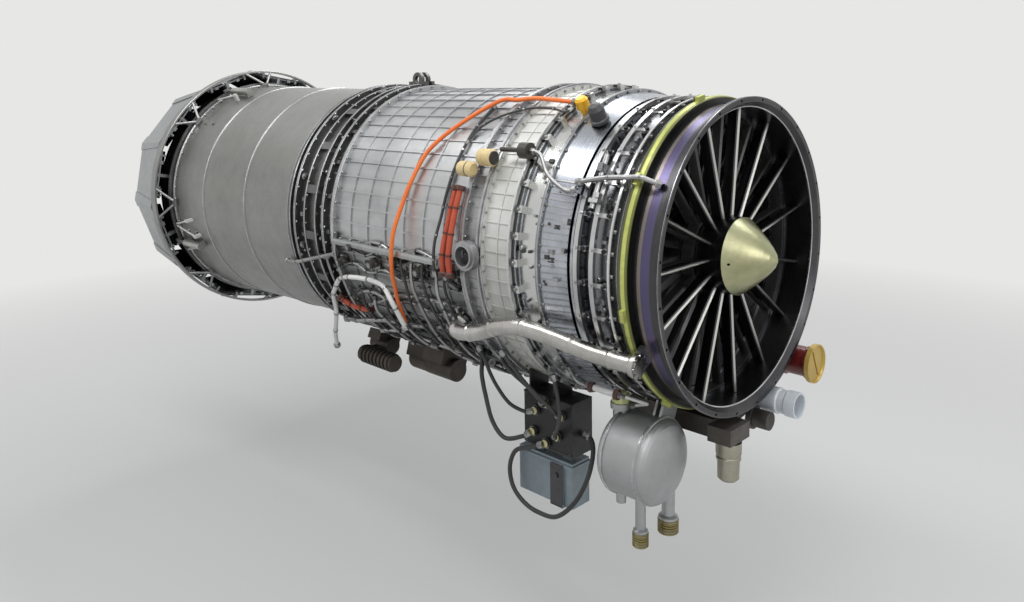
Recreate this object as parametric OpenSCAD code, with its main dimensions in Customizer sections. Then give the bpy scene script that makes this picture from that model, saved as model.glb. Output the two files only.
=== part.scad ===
// Low-bypass jet engine with afterburner and a variable nozzle.
// The engine axis is X: the inlet faces +X, the nozzle faces -X, and Z is up.
// The origin is the centre of the inlet flange's front face.
// Stations are distances aft of that face. Angles run about X from +Y towards +Z.

/* [Inlet] */
// Radius of the air path at the inlet
flow_r = 360; // [340:2:372]
// Outer radius of the inlet flange
flange_r = 384; // [382:1:392]
// Thickness of the inlet flange
flange_t = 10; // [8:1:14]
// Bolt holes in the inlet flange
flange_bolts = 24; // [12:1:36]
// Fixed struts behind the inlet
strut_count = 15; // [9:1:19]
// Thickness of a fixed strut
strut_t = 9; // [6:0.5:14]
// Radius of the nose cone's base
cone_r = 95; // [85:1:105]
// How far the nose cone stands ahead of its base
cone_l = 94; // [70:2:120]
// Length of the front frame
front_l = 90; // [86:1:110]

/* [Fan] */
// Blades in the first fan stage
fan_blades_n = 20; // [14:1:26]
// Twist of a first-stage blade from root to tip, in degrees
fan_twist = 34; // [20:1:45]
// Thickness of the fan blades at the root
blade_t = 10; // [6:0.5:14]
// Length of the fan case
fan_l = 310; // [306:1:330]
// Clearance between the blade tips and the case
tip_gap = 2; // [1:0.25:4]
// Levers on each ring of variable vanes
lever_count = 30; // [18:1:36]
// Teeth of the bracket flange behind the fan case
tooth_count = 40; // [24:1:48]

/* [Ducts] */
// Outer radius of the main bypass duct's skin
duct_r = 406; // [402:1:412]
// Thickness of the duct skins
skin_t = 3; // [2:0.5:5]
// Height of the stiffening ribs
rib_h = 4; // [2:0.5:6]
// Width of the stiffening ribs
rib_w = 4; // [3:0.5:8]
// Length of the front bypass duct
front_duct_l = 105; // [100:1:120]
// Length of the mid frame
mid_l = 60; // [60:1:70]
// Length of the main bypass duct
main_duct_l = 575; // [560:5:600]
// Lengthwise ribs round the front duct
front_rib_count = 70; // [40:2:80]
// Lengthwise ribs round the main duct
rib_count = 56; // [40:2:60]
// Ring-shaped ribs along the main duct
rib_rings = 6; // [4:1:7]
// Height of the main duct's split plane, from the axis
split_z = -35; // [-60:1:0]

/* [Afterburner] */
// Length of the aft bypass ring
aft_ring_l = 239; // [236:1:250]
// Length of the afterburner casing
burner_l = 826; // [810:2:850]
// Outer radius of the afterburner casing at its front end
burner_r0 = 408; // [404:1:412]
// Outer radius of the afterburner casing at its aft end
burner_r1 = 424; // [420:1:428]

/* [Nozzle] */
// Outer radius of the shroud ring
shroud_r = 492; // [488:1:498]
// Distance between the casing's end and the shroud ring
shroud_set = 35; // [35:1:45]
// Outer flaps of the nozzle
flap_n = 12; // [12:1:12]
// Length of an outer flap
flap_l = 260; // [230:2:280]
// Slope of an outer flap at rest, in degrees
flap_slope = 8.4; // [6:0.1:12]
// Thickness of an outer flap
flap_t = 4; // [3:0.5:6]
// Radius of a flap's hinge bar
hinge_r = 4; // [3:0.25:5]

/* [Accessories] */
// Radius of the oil tank
tank_r = 102; // [94:1:108]
// Length of the oil tank's straight part
tank_l = 103; // [90:1:112]
// Radius of the filter bowl
bowl_r = 28; // [22:1:32]
// Radius of the bleed duct
bleed_r = 21; // [16:1:24]
// Radius of the orange sheathed cable
orange_r = 6; // [4:0.5:8]
// Radius of the white sheathed hose
white_r = 7; // [5:0.5:9]

/* [Mounts] */
// Radius of the bore in each side trunnion
trunnion_bore_r = 25; // [20:0.5:28]
// Depth of the bore in each side trunnion
trunnion_depth = 38; // [30:1:40]
// Radius of the bore in the rear hanger lug
hanger_bore_r = 12; // [9:0.5:14]

/* [Hidden] */
$fn = 96;
run_gap = 0.05;
seat_gap = 0.3;
wall = 4;

// Stations of the joints between the casings
s_fan = front_l;
s_fduct = s_fan + fan_l;
s_mid = s_fduct + front_duct_l;
s_main = s_mid + mid_l;
s_aft = s_main + main_duct_l;
s_burner = s_aft + aft_ring_l;
s_end = s_burner + burner_l;
s_shroud = s_end + shroud_set;

// Flow path and shafts
tip_r = flow_r - 6;
lp_r = 38;
lp_bore = 28;
spool_r = 55;
spool_bore = 46;
bearing_h = 22;
bearing_w = 20;
s_bear1 = front_l - 25;
s_bear2 = s_mid + 12;
s_bear3 = s_main - 12;
s_core_end = s_burner + 10;
s_rear = s_core_end;
rear_l = 50;
core_r = 236;
lip_back = 15;
lip_rise = 11;
flange_pcd_r = (flow_r + lip_rise + flange_r) / 2;
flange_hole_r = 3.5;

// Flaps
flap_step = 360 / flap_n;
flap_a0 = 169;
flap_mid = shroud_r * cos(flap_step / 2) + 1;
hinge_x = -(s_shroud + 28);
hinge_y = flap_mid - 12;

// Shared shapes

// A profile of [station, radius] points turned round the engine axis
module turn(pts, fn = 96)
  rotate([0, 90, 0]) rotate_extrude($fn = fn) polygon([for (p = pts) [p[1], -p[0]]]);

// A plain ring between two stations and two radii
module ring(s0, s1, r0, r1)
  turn([[s0, r0], [s0, r1], [s1, r1], [s1, r0]]);

// Copies children n times round the engine axis
module around(n, a0 = 0)
  for (i = [0 : n - 1]) rotate([a0 + 360 * i / n, 0, 0]) children();

// A radial cylinder that stands on the +Y side
module radial(s, r0, r1, rad, fn = 96)
  translate([-s, r0, 0]) rotate([-90, 0, 0]) cylinder(h = r1 - r0, r = rad, $fn = fn);

// A cylinder along the engine axis, from station s0 to s1
module axial(s0, s1, y, z, rad)
  translate([-s1, y, z]) rotate([0, 90, 0]) cylinder(h = s1 - s0, r = rad);

// An axial cylinder placed by its angle and its distance from the engine axis
module axial_at(s0, s1, a, r, rad)
  axial(s0, s1, r * cos(a), r * sin(a), rad);

// A cylinder between two points
module rod(p, q, rad) {
  d = q - p;
  h = norm(d);
  translate(p) rotate([0, acos(d[2] / h), atan2(d[1], d[0])]) cylinder(h = h, r = rad, $fn = 24);
}

// A box given by its lowest and highest corners
module box(lo, hi)
  translate(lo) cube(hi - lo);

// Half-thickness of an aerofoil along its chord, t runs from 0 to 1
function foil_half(t) = 2.6 * sqrt(t) * (1 - t) * (1 - 0.45 * t);

// Outline of an aerofoil with a camber, nose at the origin and tail at -chord
function foil(c, th, camber = 0, n = 5) = concat(
  [for (i = [0 : n]) [-c * i / n, camber * sin(180 * i / n) + th / 2 * foil_half(i / n)]],
  [for (i = [n - 1 : -1 : 1]) [-c * i / n, camber * sin(180 * i / n) - th / 2 * foil_half(i / n)]]
);

// A straight radial blade or strut with its nose at station s
module blade(s, r0, r1, c, th, camber = 0, stagger = 0)
  translate([-s, r0, 0]) rotate([-90, 0, 0]) rotate([0, 0, stagger])
    linear_extrude(r1 - r0) polygon(foil(c, th, camber));

// Points of a ring of n round a tube's axis, at one place of its route
function tube_ring(p, u, v, rad, n) = [for (k = [0 : n - 1])
  p + rad * cos(360 * k / n) * u + rad * sin(360 * k / n) * v];
function unit(v) = v / norm(v);
function side(t) = abs(t[2]) < 0.9 ? unit(cross([0, 0, 1], t)) : unit(cross([0, 1, 0], t));
function carry(u, t) = unit(u - (u * t) * t);
function tangent(pts, i) = unit(pts[min(i + 1, len(pts) - 1)] - pts[max(i - 1, 0)]);
function frames(pts, i = 0, u = [0, 0, 0]) = i == len(pts) ? [] :
  let (t = tangent(pts, i), w = i == 0 ? side(t) : carry(u, t))
  concat([[w, cross(t, w)]], frames(pts, i + 1, w));

// A Catmull-Rom curve through the route's points, with m steps between two of them
function bend(a, b, c, d, t) = 0.5 * ((2 * b) + (c - a) * t + (2 * a - 5 * b + 4 * c - d) * t * t
  + (3 * b - a - 3 * c + d) * t * t * t);
function curve(p, m) = concat([for (i = [0 : len(p) - 2], j = [0 : m - 1])
  bend(p[max(i - 1, 0)], p[i], p[i + 1], p[min(i + 2, len(p) - 1)], j / m)], [p[len(p) - 1]]);

// A round tube swept along a route of points
module tube(route, rad, m = 2, n = 8) {
  pts = curve(route, m);
  fr = frames(pts);
  k = len(pts);
  verts = [for (i = [0 : k - 1]) each tube_ring(pts[i], fr[i][0], fr[i][1], rad, n)];
  walls = [for (i = [0 : k - 2], j = [0 : n - 1])
    [i * n + j, (i + 1) * n + j, (i + 1) * n + (j + 1) % n, i * n + (j + 1) % n]];
  ends = [[for (j = [0 : n - 1]) j], [for (j = [n - 1 : -1 : 0]) (k - 1) * n + j]];
  polyhedron(verts, concat(walls, ends), convexity = 6);
}

// A point given by station, angle and distance from the engine axis
function at(s, a, r) = [-s, r * cos(a), r * sin(a)];

// Front frame: lip, barrel, struts and hub, one casting
module front_frame() color("dimgray") difference() {
  union() {
    turn([[0, flow_r + lip_rise], [0, flange_r], [flange_t, flange_r], [flange_t, flow_r + wall + 2],
      [front_l - 8, flow_r + wall + 2], [front_l - 8, flow_r + 20], [front_l, flow_r + 20],
      [front_l, flow_r], [lip_back, flow_r]]);
    ring(22 + seat_gap, front_l, cone_r - 7, cone_r);
    ring(s_bear1, s_bear1 + 8, lp_r + bearing_h, cone_r - 6);
    ring(s_bear1 - 2, s_bear1 + bearing_w, lp_r + bearing_h, lp_r + bearing_h + 6);
    around(strut_count, 84) blade(50, cone_r - 1, flow_r + 1, 34, strut_t * 1.3);
  }
  around(flange_bolts, 7.5)
    axial(-1, flange_t + 1, flange_pcd_r, 0, flange_hole_r);
}

// Nose cone: a hollow cone with rounded flanks, a spigot and a pressure hole
function cone_profile(s0, r, l, n = 8) = [for (i = [0 : n]) [s0 - l * i / n, r * pow(1 - i / n, 0.72)]];
module nose_cone() color("darkseagreen") difference() {
  turn(concat(cone_profile(22, cone_r, cone_l), [[22 - cone_l + 14, 0], [22, cone_r - 16],
    [30, cone_r - 16], [30, cone_r - 7 - seat_gap], [22, cone_r - 7 - seat_gap]]));
  rotate([183, 0, 0]) radial(8, cone_r - 30, cone_r + 10, 3);
}

// Fan case: barrel with bolted flanges, bosses for the vane levers and a bracket flange
lever_s1 = s_fan + 56;
lever_s2 = s_fan + 116;
case_flanges = [[s_fan, 8, 20], [s_fan + 34, 8, 24], [s_fan + 142, 7, 22], [s_fan + 230, 8, 44]];
rod_s = s_fan + 100;
rod_r = tip_r + 36;
rod_a = 154;
module fan_case() color("lightsteelblue") difference() {
  union() {
    turn([[s_fan, tip_r], [s_fan, tip_r + 6], [s_fan + 200, tip_r + 6], [s_fan + 226, tip_r + 36],
      [s_fan + 156, tip_r + 27], [s_fan + 156, tip_r + 30], [s_fan + 228, tip_r + 42],
      [s_fduct - 16, duct_r - 10], [s_fduct - 14, duct_r + 2], [s_fduct, duct_r + 2], [s_fduct, duct_r - 20],
      [s_fan + 250, tip_r + 31], [s_fan + 204, tip_r]]);
    for (f = case_flanges) ring(f[0], f[0] + f[1], tip_r + 5, tip_r + 6 + f[2]);
    for (s = [lever_s1, lever_s2], i = [0 : lever_count - 1])
      rotate([4 + 360 * i / lever_count, 0, 0]) radial(s, tip_r + 5, tip_r + 20, 8);
    around(tooth_count) box([-s_fduct + 3, duct_r - 12, -9], [-s_fduct + 26, duct_r + 9, 9]);
    rotate([rod_a, 0, 0]) box([-rod_s - 8, tip_r - 4, -76], [-rod_s + 7, rod_r + 12, -56]);
    rotate([152, 0, 0]) box([-s_fan - 149, tip_r + 20, -14], [-s_fan - 142, tip_r + 48, 14]);
  }
  rotate([rod_a, 0, 0]) translate([-rod_s, rod_r, -80]) cylinder(h = 30, r = 6 + run_gap);
}

// Stator vanes: guide-vane tails and two rows behind the fan stages, with their bands
module stator_vanes() color("slategray") {
  for (row = [[s_fan + 3, 30, 100, 15], [s_fan + 88, 22, 118, 40], [s_fan + 158, 20, 132, 46]]) {
    ring(row[0], row[0] + row[1], tip_r - 5, tip_r - seat_gap);
    ring(row[0], row[0] + row[1], row[2], row[2] + 6);
    around(row[3], 84) blade(row[0] + 1, row[2] + 5, tip_r - 4, row[1] - 3, 5, 0, 8);
  }
}

// Sealing band over the joint between front frame and fan case
module sealing_band() color("yellowgreen") union() {
  r = flow_r + 20;
  turn([[front_l - 10, r + seat_gap], [front_l - 10, r + 3], [front_l + 1, r + 7], [front_l + 13, r + 4],
    [front_l + 13, r + seat_gap]]);
  around(8, 12) box([-front_l - 9, r + 2, -14], [-front_l + 5, r + 16, 14]);
}

// A ring that turns the vane levers, with the levers on it
module unison_ring(s_boss, s_ring) {
  r = tip_r + 6;
  ring(s_ring, s_ring + 12, r + 16, r + 26);
  for (i = [0 : lever_count - 1]) rotate([4 + 360 * i / lever_count, 0, 0]) {
    box([-s_ring - 10, r + 14.8, -5], [-s_boss + 7, r + 18.5, 5]);
    radial(s_ring + 6, r + 20, r + 30, 4, 6);
  }
}
module unison_ring_front() color("gainsboro") union() {
  unison_ring(lever_s1, lever_s1 + 24);
  rotate([rod_a, 0, 0]) box([-lever_s1 - 35, tip_r + 28, -6], [-lever_s1 - 26, tip_r + 46, 6]);
}
module unison_ring_rear() color("gainsboro") unison_ring(lever_s2, lever_s2 + 10);

// Rod that drives the front unison ring, in its guide on the fan case
module vane_rod() color("silver") rotate([rod_a, 0, 0]) union() {
  translate([-rod_s, rod_r, -100]) cylinder(h = 130, r = 6);
  box([-rod_s - 7, rod_r - 2.5, 8], [-lever_s1 - 26, rod_r + 10, 18]);
}

// Fan blades: a twisted first stage, each blade its own solid
function blade_section(k, n, r0, r1, c, th) = let (t = k / n, a = 30 + fan_twist * t,
  r = r0 + (r1 - r0) * t, s = foil(c * (1 - 0.15 * t), th * (1 - 0.65 * t), -8 + 5 * t, 4))
  [for (p = s) let (x = p[0] + c / 2) [x * cos(a) - p[1] * sin(a), r, x * sin(a) + p[1] * cos(a)]];
module twisted_blade(r0, r1, c, th, n = 4) {
  m = len(foil(1, 1, 0, 4));
  verts = [for (k = [0 : n]) each blade_section(k, n, r0, r1, c, th)];
  walls = [for (k = [0 : n - 1], j = [0 : m - 1]) let (a = k * m + j, b = k * m + (j + 1) % m)
    each j < m / 2 ? [[a, b + m, a + m], [a, b, b + m]] : [[a, b, a + m], [b, b + m, a + m]]];
  polyhedron(verts, concat(walls, [[for (j = [m - 1 : -1 : 0]) j], [for (j = [0 : m - 1]) n * m + j]]),
    convexity = 4);
}
fan_hub = [104, 122, 134, 146];
s_stage = [s_fan + 62, s_fan + 122, s_fan + 190];
module fan_blades() color("gray") around(fan_blades_n)
  translate([-s_stage[0], 0, 0]) twisted_blade(fan_hub[0] + seat_gap, tip_r - tip_gap, 54, blade_t);

// Fan rotor: drum with discs and the second and third stages
module fan_rotor() color("darkgray") union() {
  turn([[s_fan + 37, lp_r], [s_fan + 37, fan_hub[0]], [s_fan + 86, fan_hub[0]],
    [s_fan + 88, fan_hub[1] - 14], [s_fan + 114, fan_hub[1] - 12], [s_fan + 114, fan_hub[2] - 4],
    [s_fan + 134, fan_hub[2]], [s_fan + 150, fan_hub[2] - 14], [s_fan + 182, fan_hub[2] - 12],
    [s_fan + 182, fan_hub[3]], [s_fan + 204, fan_hub[3]], [s_fan + 204, fan_hub[3] - 12],
    [s_fan + 190, fan_hub[3] - 30], [s_fan + 126, fan_hub[2] - 22], [s_fan + 60, fan_hub[0] - 20],
    [s_fan + 60, lp_r]]);
  for (row = [[1, 26, 18], [2, 32, 16]])
    around(row[1], 3) blade(s_stage[row[0]] - 6, fan_hub[row[0] + 1] - 3, tip_r - tip_gap, row[2], 4, 0, 40);
}

// Low-pressure shaft with its turbine
s_lp_turbine = s_core_end - 50;
module lp_shaft() color("silver") turn([[s_bear1 - 4, lp_bore], [s_bear1 - 4, lp_r - run_gap],
  [s_lp_turbine - 12, lp_r - run_gap], [s_lp_turbine - 2, 70], [s_lp_turbine, 232],
  [s_lp_turbine + 24, 236], [s_lp_turbine + 24, 200], [s_lp_turbine + 14, 196],
  [s_lp_turbine + 14, 70], [s_lp_turbine + 20, lp_r - run_gap], [s_rear + rear_l - 4, lp_r - run_gap],
  [s_rear + rear_l - 4, lp_bore]]);

// High-pressure rotor: compressor drum, shaft and turbine disc
s_core_turbine = s_lp_turbine - 70;
module core_rotor() color("slategray") turn([[s_bear3 - 10, spool_bore], [s_bear3 - 10, spool_r - run_gap],
  [s_main + 24, spool_r - run_gap], [s_main + 40, 120], [s_main + 44, 196], [s_main + 64, 198],
  [s_main + 68, 140], [s_main + 180, 150], [s_main + 184, 188], [s_main + 204, 188],
  [s_main + 208, 156], [s_main + 330, 162], [s_main + 334, 180], [s_main + 354, 180],
  [s_main + 358, 150], [s_main + 380, 70], [s_core_turbine - 20, 70], [s_core_turbine - 6, 90],
  [s_core_turbine, 222], [s_core_turbine + 26, 226], [s_core_turbine + 26, 190],
  [s_core_turbine + 16, 90], [s_core_turbine + 22, spool_r - run_gap],
  [s_core_turbine + 50, spool_r - run_gap], [s_core_turbine + 50, spool_bore]]);

// Bearings of the two shafts
module bearing(s, r)
  turn([[s, r], [s, r + 7], [s + 4, r + 9], [s + 4, r + bearing_h - 9], [s, r + bearing_h - 7],
    [s, r + bearing_h - seat_gap], [s + bearing_w, r + bearing_h - seat_gap],
    [s + bearing_w, r + bearing_h - 7], [s + bearing_w - 4, r + bearing_h - 9],
    [s + bearing_w - 4, r + 9], [s + bearing_w, r + 7], [s + bearing_w, r]]);
module bearings() color("gold") {
  bearing(s_bear1, lp_r);
  bearing(s_bear2 - bearing_w, lp_r);
  bearing(s_bear3 + 4, spool_r);
  bearing(s_core_turbine + 26, spool_r);
  bearing(s_rear + 14, lp_r);
}

// Mid frame: outer ring, struts, hub and the two side trunnions
trunnion_s = s_mid + 30;
trunnion_face = duct_r + 38;
module mid_frame() color("gainsboro") difference() {
  union() {
    turn([[s_mid, duct_r - 9], [s_mid, duct_r + 14], [s_mid + 8, duct_r + 14], [s_mid + 8, duct_r],
      [s_main - 8, duct_r], [s_main - 8, duct_r + 14], [s_main, duct_r + 14], [s_main, duct_r - 9]]);
    ring(s_mid + 2, s_main - 2, core_r - 8, core_r);
    ring(s_mid + 2, s_main - 10, spool_r + bearing_h, spool_r + bearing_h + 8);
    ring(s_bear2 - bearing_w, s_bear2 + 6, lp_r + bearing_h, lp_r + bearing_h + 6);
    ring(s_bear2, s_bear2 + 6, lp_r + bearing_h + 5, spool_r + bearing_h + 1);
    ring(s_bear3 + 2, s_bear3 + 12, spool_r + bearing_h, spool_r + bearing_h + 8);
    around(8, 22.5) blade(s_mid + 8, core_r - 1, duct_r - 8, 44, 16);
    around(6, 0) blade(s_mid + 8, spool_r + bearing_h + 7, core_r - 7, 40, 14);
    for (a = [0, 180]) rotate([a, 0, 0]) {
      radial(trunnion_s, duct_r - 8, trunnion_face, trunnion_bore_r + 4.5);
      radial(trunnion_s, duct_r + 14.6, trunnion_face - 6, trunnion_bore_r + 13);
    }
  }
  for (a = [0, 180]) rotate([a, 0, 0])
    radial(trunnion_s, trunnion_face - trunnion_depth, trunnion_face + 1, trunnion_bore_r);
}

// A square-celled skin between two stations: rings, lengthwise ribs and end flanges
module ribbed_skin(s0, s1, r, rings, n, a0, w, h) {
  ring(s0, s1, r - skin_t, r);
  for (i = [1 : rings]) let (s = s0 + (s1 - s0) * i / (rings + 1)) ring(s - w / 2, s + w / 2, r - 1, r + h);
  around(n, a0) box([-s1 + 1, r - 1, -w / 2], [-s0 - 1, r + h, w / 2]);
  ring(s0, s0 + 8, r - skin_t, r + 14);
  ring(s1 - 8, s1, r - skin_t, r + 14);
}
module front_duct() color("whitesmoke")
  ribbed_skin(s_fduct, s_mid, duct_r - 4, 1, front_rib_count, 3, 2.5, 2.5);

// Main bypass duct, split level with the axis into two bolted halves
split_w = 24;
split_t = 8;
module duct_half(up) {
  k = up ? 1 : -1;
  difference() {
    union() {
      intersection() {
        ribbed_skin(s_main, s_aft, duct_r, rib_rings, rib_count, 3, rib_w, rib_h);
        box([-s_aft - 1, -duct_r - 60, up ? split_z : -duct_r - 60],
          [-s_main + 1, duct_r + 60, up ? duct_r + 60 : split_z]);
      }
      for (m = [-1, 1]) translate([0, 0, split_z]) mirror([0, m < 0 ? 1 : 0, 0])
        box([-s_aft + 9, duct_r - 5, up ? 0 : -split_t], [-s_main - 9, duct_r + split_w, up ? split_t : 0]);
    }
    for (m = [-1, 1], i = [0 : 10])
      translate([-s_main - 40 - i * 49, m * (duct_r + 14), split_z - 20]) cylinder(h = 40, r = 3.5);
  }
}
module duct_upper() color("silver") duct_half(true);
module duct_lower() color("silver") duct_half(false);

// Aft bypass ring with bolted flanges, brackets and the rear hanger lug
hanger_s = s_aft + 60;
hanger_r = duct_r + 34;
aft_flanges = [[0, 8, 14], [38, 8, 20], [84, 8, 18], [150, 6, 14], [196, 8, 20]];
module aft_ring() color("dimgray") difference() {
  union() {
    turn([[s_aft, duct_r - skin_t - 1], [s_aft, duct_r], [s_burner - 12, duct_r - 1],
      [s_burner - 12, duct_r + 19], [s_burner, duct_r + 19], [s_burner, duct_r - skin_t - 1]]);
    for (f = aft_flanges) ring(s_aft + f[0], s_aft + f[0] + f[1], duct_r - 2, duct_r + f[2]);
    around(18, 5) box([-s_aft - 148, duct_r - 2, -13], [-s_aft - 96, duct_r + 12, 13]);
    around(24, 2) box([-s_aft - 36, duct_r - 2, -6], [-s_aft - 16, duct_r + 11, 6]);
    around(12, 10) radial(s_aft + 176, duct_r - 2, duct_r + 16, 11);
    for (z = [-16, 10]) rotate([90, 0, 0])
      box([-hanger_s - 44, duct_r - 6, z - 3], [-hanger_s + 44, hanger_r - 6, z + 9]);
    for (z = [-19, 7]) translate([-hanger_s, z + 12, hanger_r]) rotate([90, 0, 0])
      cylinder(h = 12, r = hanger_bore_r + 12);
  }
  translate([-hanger_s, -40, hanger_r]) rotate([-90, 0, 0]) cylinder(h = 80, r = hanger_bore_r);
}

// Core casing round the compressor, combustor and turbines
module core_case() color("tan") union() {
  turn([[s_main + 2, core_r - 8], [s_main + 2, core_r + 8], [s_main + 10, core_r + 8], [s_main + 10, core_r],
    [s_main + 400, core_r - 26], [s_main + 440, core_r + 14], [s_core_turbine - 30, core_r + 14],
    [s_core_turbine - 20, core_r + 26], [s_core_end, core_r + 34], [s_core_end, core_r + 6],
    [s_core_turbine - 20, core_r], [s_core_turbine - 30, core_r + 8], [s_main + 446, core_r + 8],
    [s_main + 406, core_r - 32], [s_main + 10, core_r - 6]]);
  ring(s_core_turbine + 30, s_core_turbine + 36, spool_r + bearing_h + 4, core_r + 8);
  ring(s_core_turbine + 26, s_core_turbine + 46, spool_r + bearing_h, spool_r + bearing_h + 6);
}

// Rear frame: struts from the turbine casing to the shaft bearing
module rear_frame() color("sienna") union() {
  ring(s_rear + seat_gap, s_rear + rear_l, core_r + 24, core_r + 32);
  ring(s_rear + seat_gap, s_rear + rear_l, 190, 197);
  ring(s_rear + 12, s_rear + 36, lp_r + bearing_h, lp_r + bearing_h + 7);
  ring(s_rear + 28, s_rear + 36, lp_r + bearing_h + 6, 192);
  around(10, 9) blade(s_rear + 4, 196, core_r + 25, 40, 12);
  around(10, 27) blade(s_rear + 4, core_r + 31, burner_r0 - skin_t - seat_gap, 36, 9);
}

// Exhaust cone behind the turbine
s_cone = s_rear + rear_l + seat_gap;
module exhaust_cone() color("peru")
  turn(concat([for (i = [0 : 8]) let (t = i / 8) [s_cone + 290 * t, 0.1 + 197 * pow(1 - t, 0.62)]],
    [[s_cone + 280, 0], [s_cone + 4, 186]]));

// Flame holder: two gutter rings, radial gutters and arms to the liner
s_flame = s_burner + 210;
module gutter(r) turn([[s_flame, r - 2], [s_flame, r + 2], [s_flame + 46, r + 20], [s_flame + 46, r + 17],
  [s_flame + 6, r], [s_flame + 46, r - 17], [s_flame + 46, r - 20]]);
module flame_holder() color("saddlebrown") union() {
  gutter(150);
  gutter(280);
  around(12) box([-s_flame - 22, 150, -4], [-s_flame - 4, liner_r(s_flame) - skin_t - seat_gap, 4]);
}

// Cooled liner inside the afterburner casing, with beads and a seat ring at its front
s_liner = s_burner + 90;
function liner_r(s) = burner_r0 - 16 + 6 * (s - s_liner) / (s_end - 30 - s_liner);
module burner_liner() color("rosybrown") union() {
  turn([[s_liner, liner_r(s_liner) - 3], [s_liner, burner_r(s_liner) - skin_t - seat_gap],
    [s_liner + 5, burner_r(s_liner) - skin_t - seat_gap], [s_liner + 5, liner_r(s_liner + 5)],
    [s_end - 30, liner_r(s_end - 30)], [s_end - 30, liner_r(s_end - 30) - 3]]);
  for (s = [s_liner + 40 : 80 : s_end - 60])
    turn([[s, liner_r(s) - 1], [s + 3, liner_r(s) + 6], [s + 21, liner_r(s) + 6], [s + 24, liner_r(s) - 1]]);
}

// Afterburner casing with two hoop seams, one lengthwise seam and end flanges
seam_s = [s_burner + 303, s_burner + 598];
function burner_r(s) = burner_r0 + (burner_r1 - burner_r0) * (s - s_burner) / burner_l;
module burner_casing() color("darkgray") difference() {
  union() {
    turn([[s_burner, burner_r0 - 3], [s_burner, burner_r0 + 15], [s_burner + 8, burner_r0 + 15],
      [s_burner + 8, burner_r0], [s_end - 8, burner_r1], [s_end - 8, burner_r1 + 8], [s_end, burner_r1 + 8],
      [s_end, burner_r1 - 3]]);
    for (s = seam_s) turn([[s - 6, burner_r(s) - 1], [s - 3, burner_r(s) + 2.5], [s + 3, burner_r(s) + 2.5],
      [s + 6, burner_r(s) - 1]]);
    rotate([170, 0, 0]) translate([-s_burner, burner_r0, 0])
      rotate([0, 0, -atan((burner_r1 - burner_r0) / burner_l)])
        box([s_burner - seam_s[0], -1.5, -4], [-7, 2, 4]);
    for (s = [s_end - 120, s_end - 60]) around(6, 17) radial(s, burner_r0, burner_r(s) + 5, 7);
  }
}

// Shroud ring round the nozzle, its stays and the ears of the flap hinges
ear_z = 78;
stay_n = 8;
module shroud_ring() color("lightgray") difference() {
  union() {
    turn([[s_shroud, shroud_r - 8], [s_shroud, shroud_r - 2], [s_shroud + 2, shroud_r],
      [s_shroud + 34, shroud_r], [s_shroud + 34, shroud_r - 3], [s_shroud + 16, shroud_r - 8]]);
    around(flap_n, flap_a0) for (m = [-1, 1]) translate([0, 0, m * ear_z])
      box([hinge_x - 9, hinge_y - 9, -4], [hinge_x + 16, hinge_y + 15, 4]);
    for (i = [0 : stay_n - 1], m = [-1, 1]) let (a = 182 + 360 * i / stay_n)
      rod(at(s_end - 10, a + m, burner_r1 + 14), at(s_shroud + 8, a + m * 7, shroud_r - 6), 5);
    around(stay_n, 182) box([-s_end - 1, burner_r1 + 8.3, -16], [-s_end + 18, burner_r1 + 16, 16]);
  }
  around(flap_n, flap_a0) translate([hinge_x, hinge_y, -ear_z - 20])
    cylinder(h = 2 * ear_z + 40, r = hinge_r + run_gap);
}

// Inner flaps: a polygonal converging cone of overlapping plates
module inner_flaps() color("dimgray") union() {
  r0 = burner_r1 - 22;
  slope = 14;
  ring(s_end + seat_gap, s_end + 7, burner_r1 - 34, burner_r1 - 6);
  ring(s_end + seat_gap, s_end + 3.5, burner_r1 - 8, burner_r1 + 6);
  around(12, flap_a0) translate([-s_end - 4, r0, 0]) rotate([0, 0, slope]) rotate([90, 0, 0]) {
    linear_extrude(4) polygon([[0, -107], [0, 107], [-230, 92], [-230, -92]]);
    translate([0, 0, -9]) linear_extrude(10) polygon([[-6, -7], [-6, 7], [-222, 5], [-222, -5]]);
  }
}

// Nozzle actuators: four cylinders on the afterburner casing
act_a0 = 113;
act_r = burner_r1 + 20;
act_rod_r = 6;
s_act = s_end - 165;
module nozzle_actuators() color("white") around(4, act_a0) difference() {
  union() {
    axial(s_act, s_act + 130, act_r, 0, 14);
    for (s = [s_act + 8, s_act + 104])
      box([-s - 16, burner_r(s + 16) + seat_gap, -12], [-s, act_r, 12]);
  }
  axial(s_act + 30, s_act + 131, act_r, 0, act_rod_r + run_gap);
}

// Ring that moves all the outer flaps, on the four actuator rods
horn = 46;
module sync_ring() color("lightgray") union() {
  ring(s_end + 14, s_end + 28, burner_r1 + 2, burner_r1 + 16);
  around(4, act_a0) {
    axial(s_act + 60, s_end + 16, act_r, 0, act_rod_r);
    box([-s_end - 26, burner_r1 + 4, -12], [-s_end - 15, act_r + 9, 12]);
  }
  around(flap_n, flap_a0) box([hinge_x + 12, hinge_y - horn, -5], [-s_end - 27, hinge_y - horn + 12, 5]);
}

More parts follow.
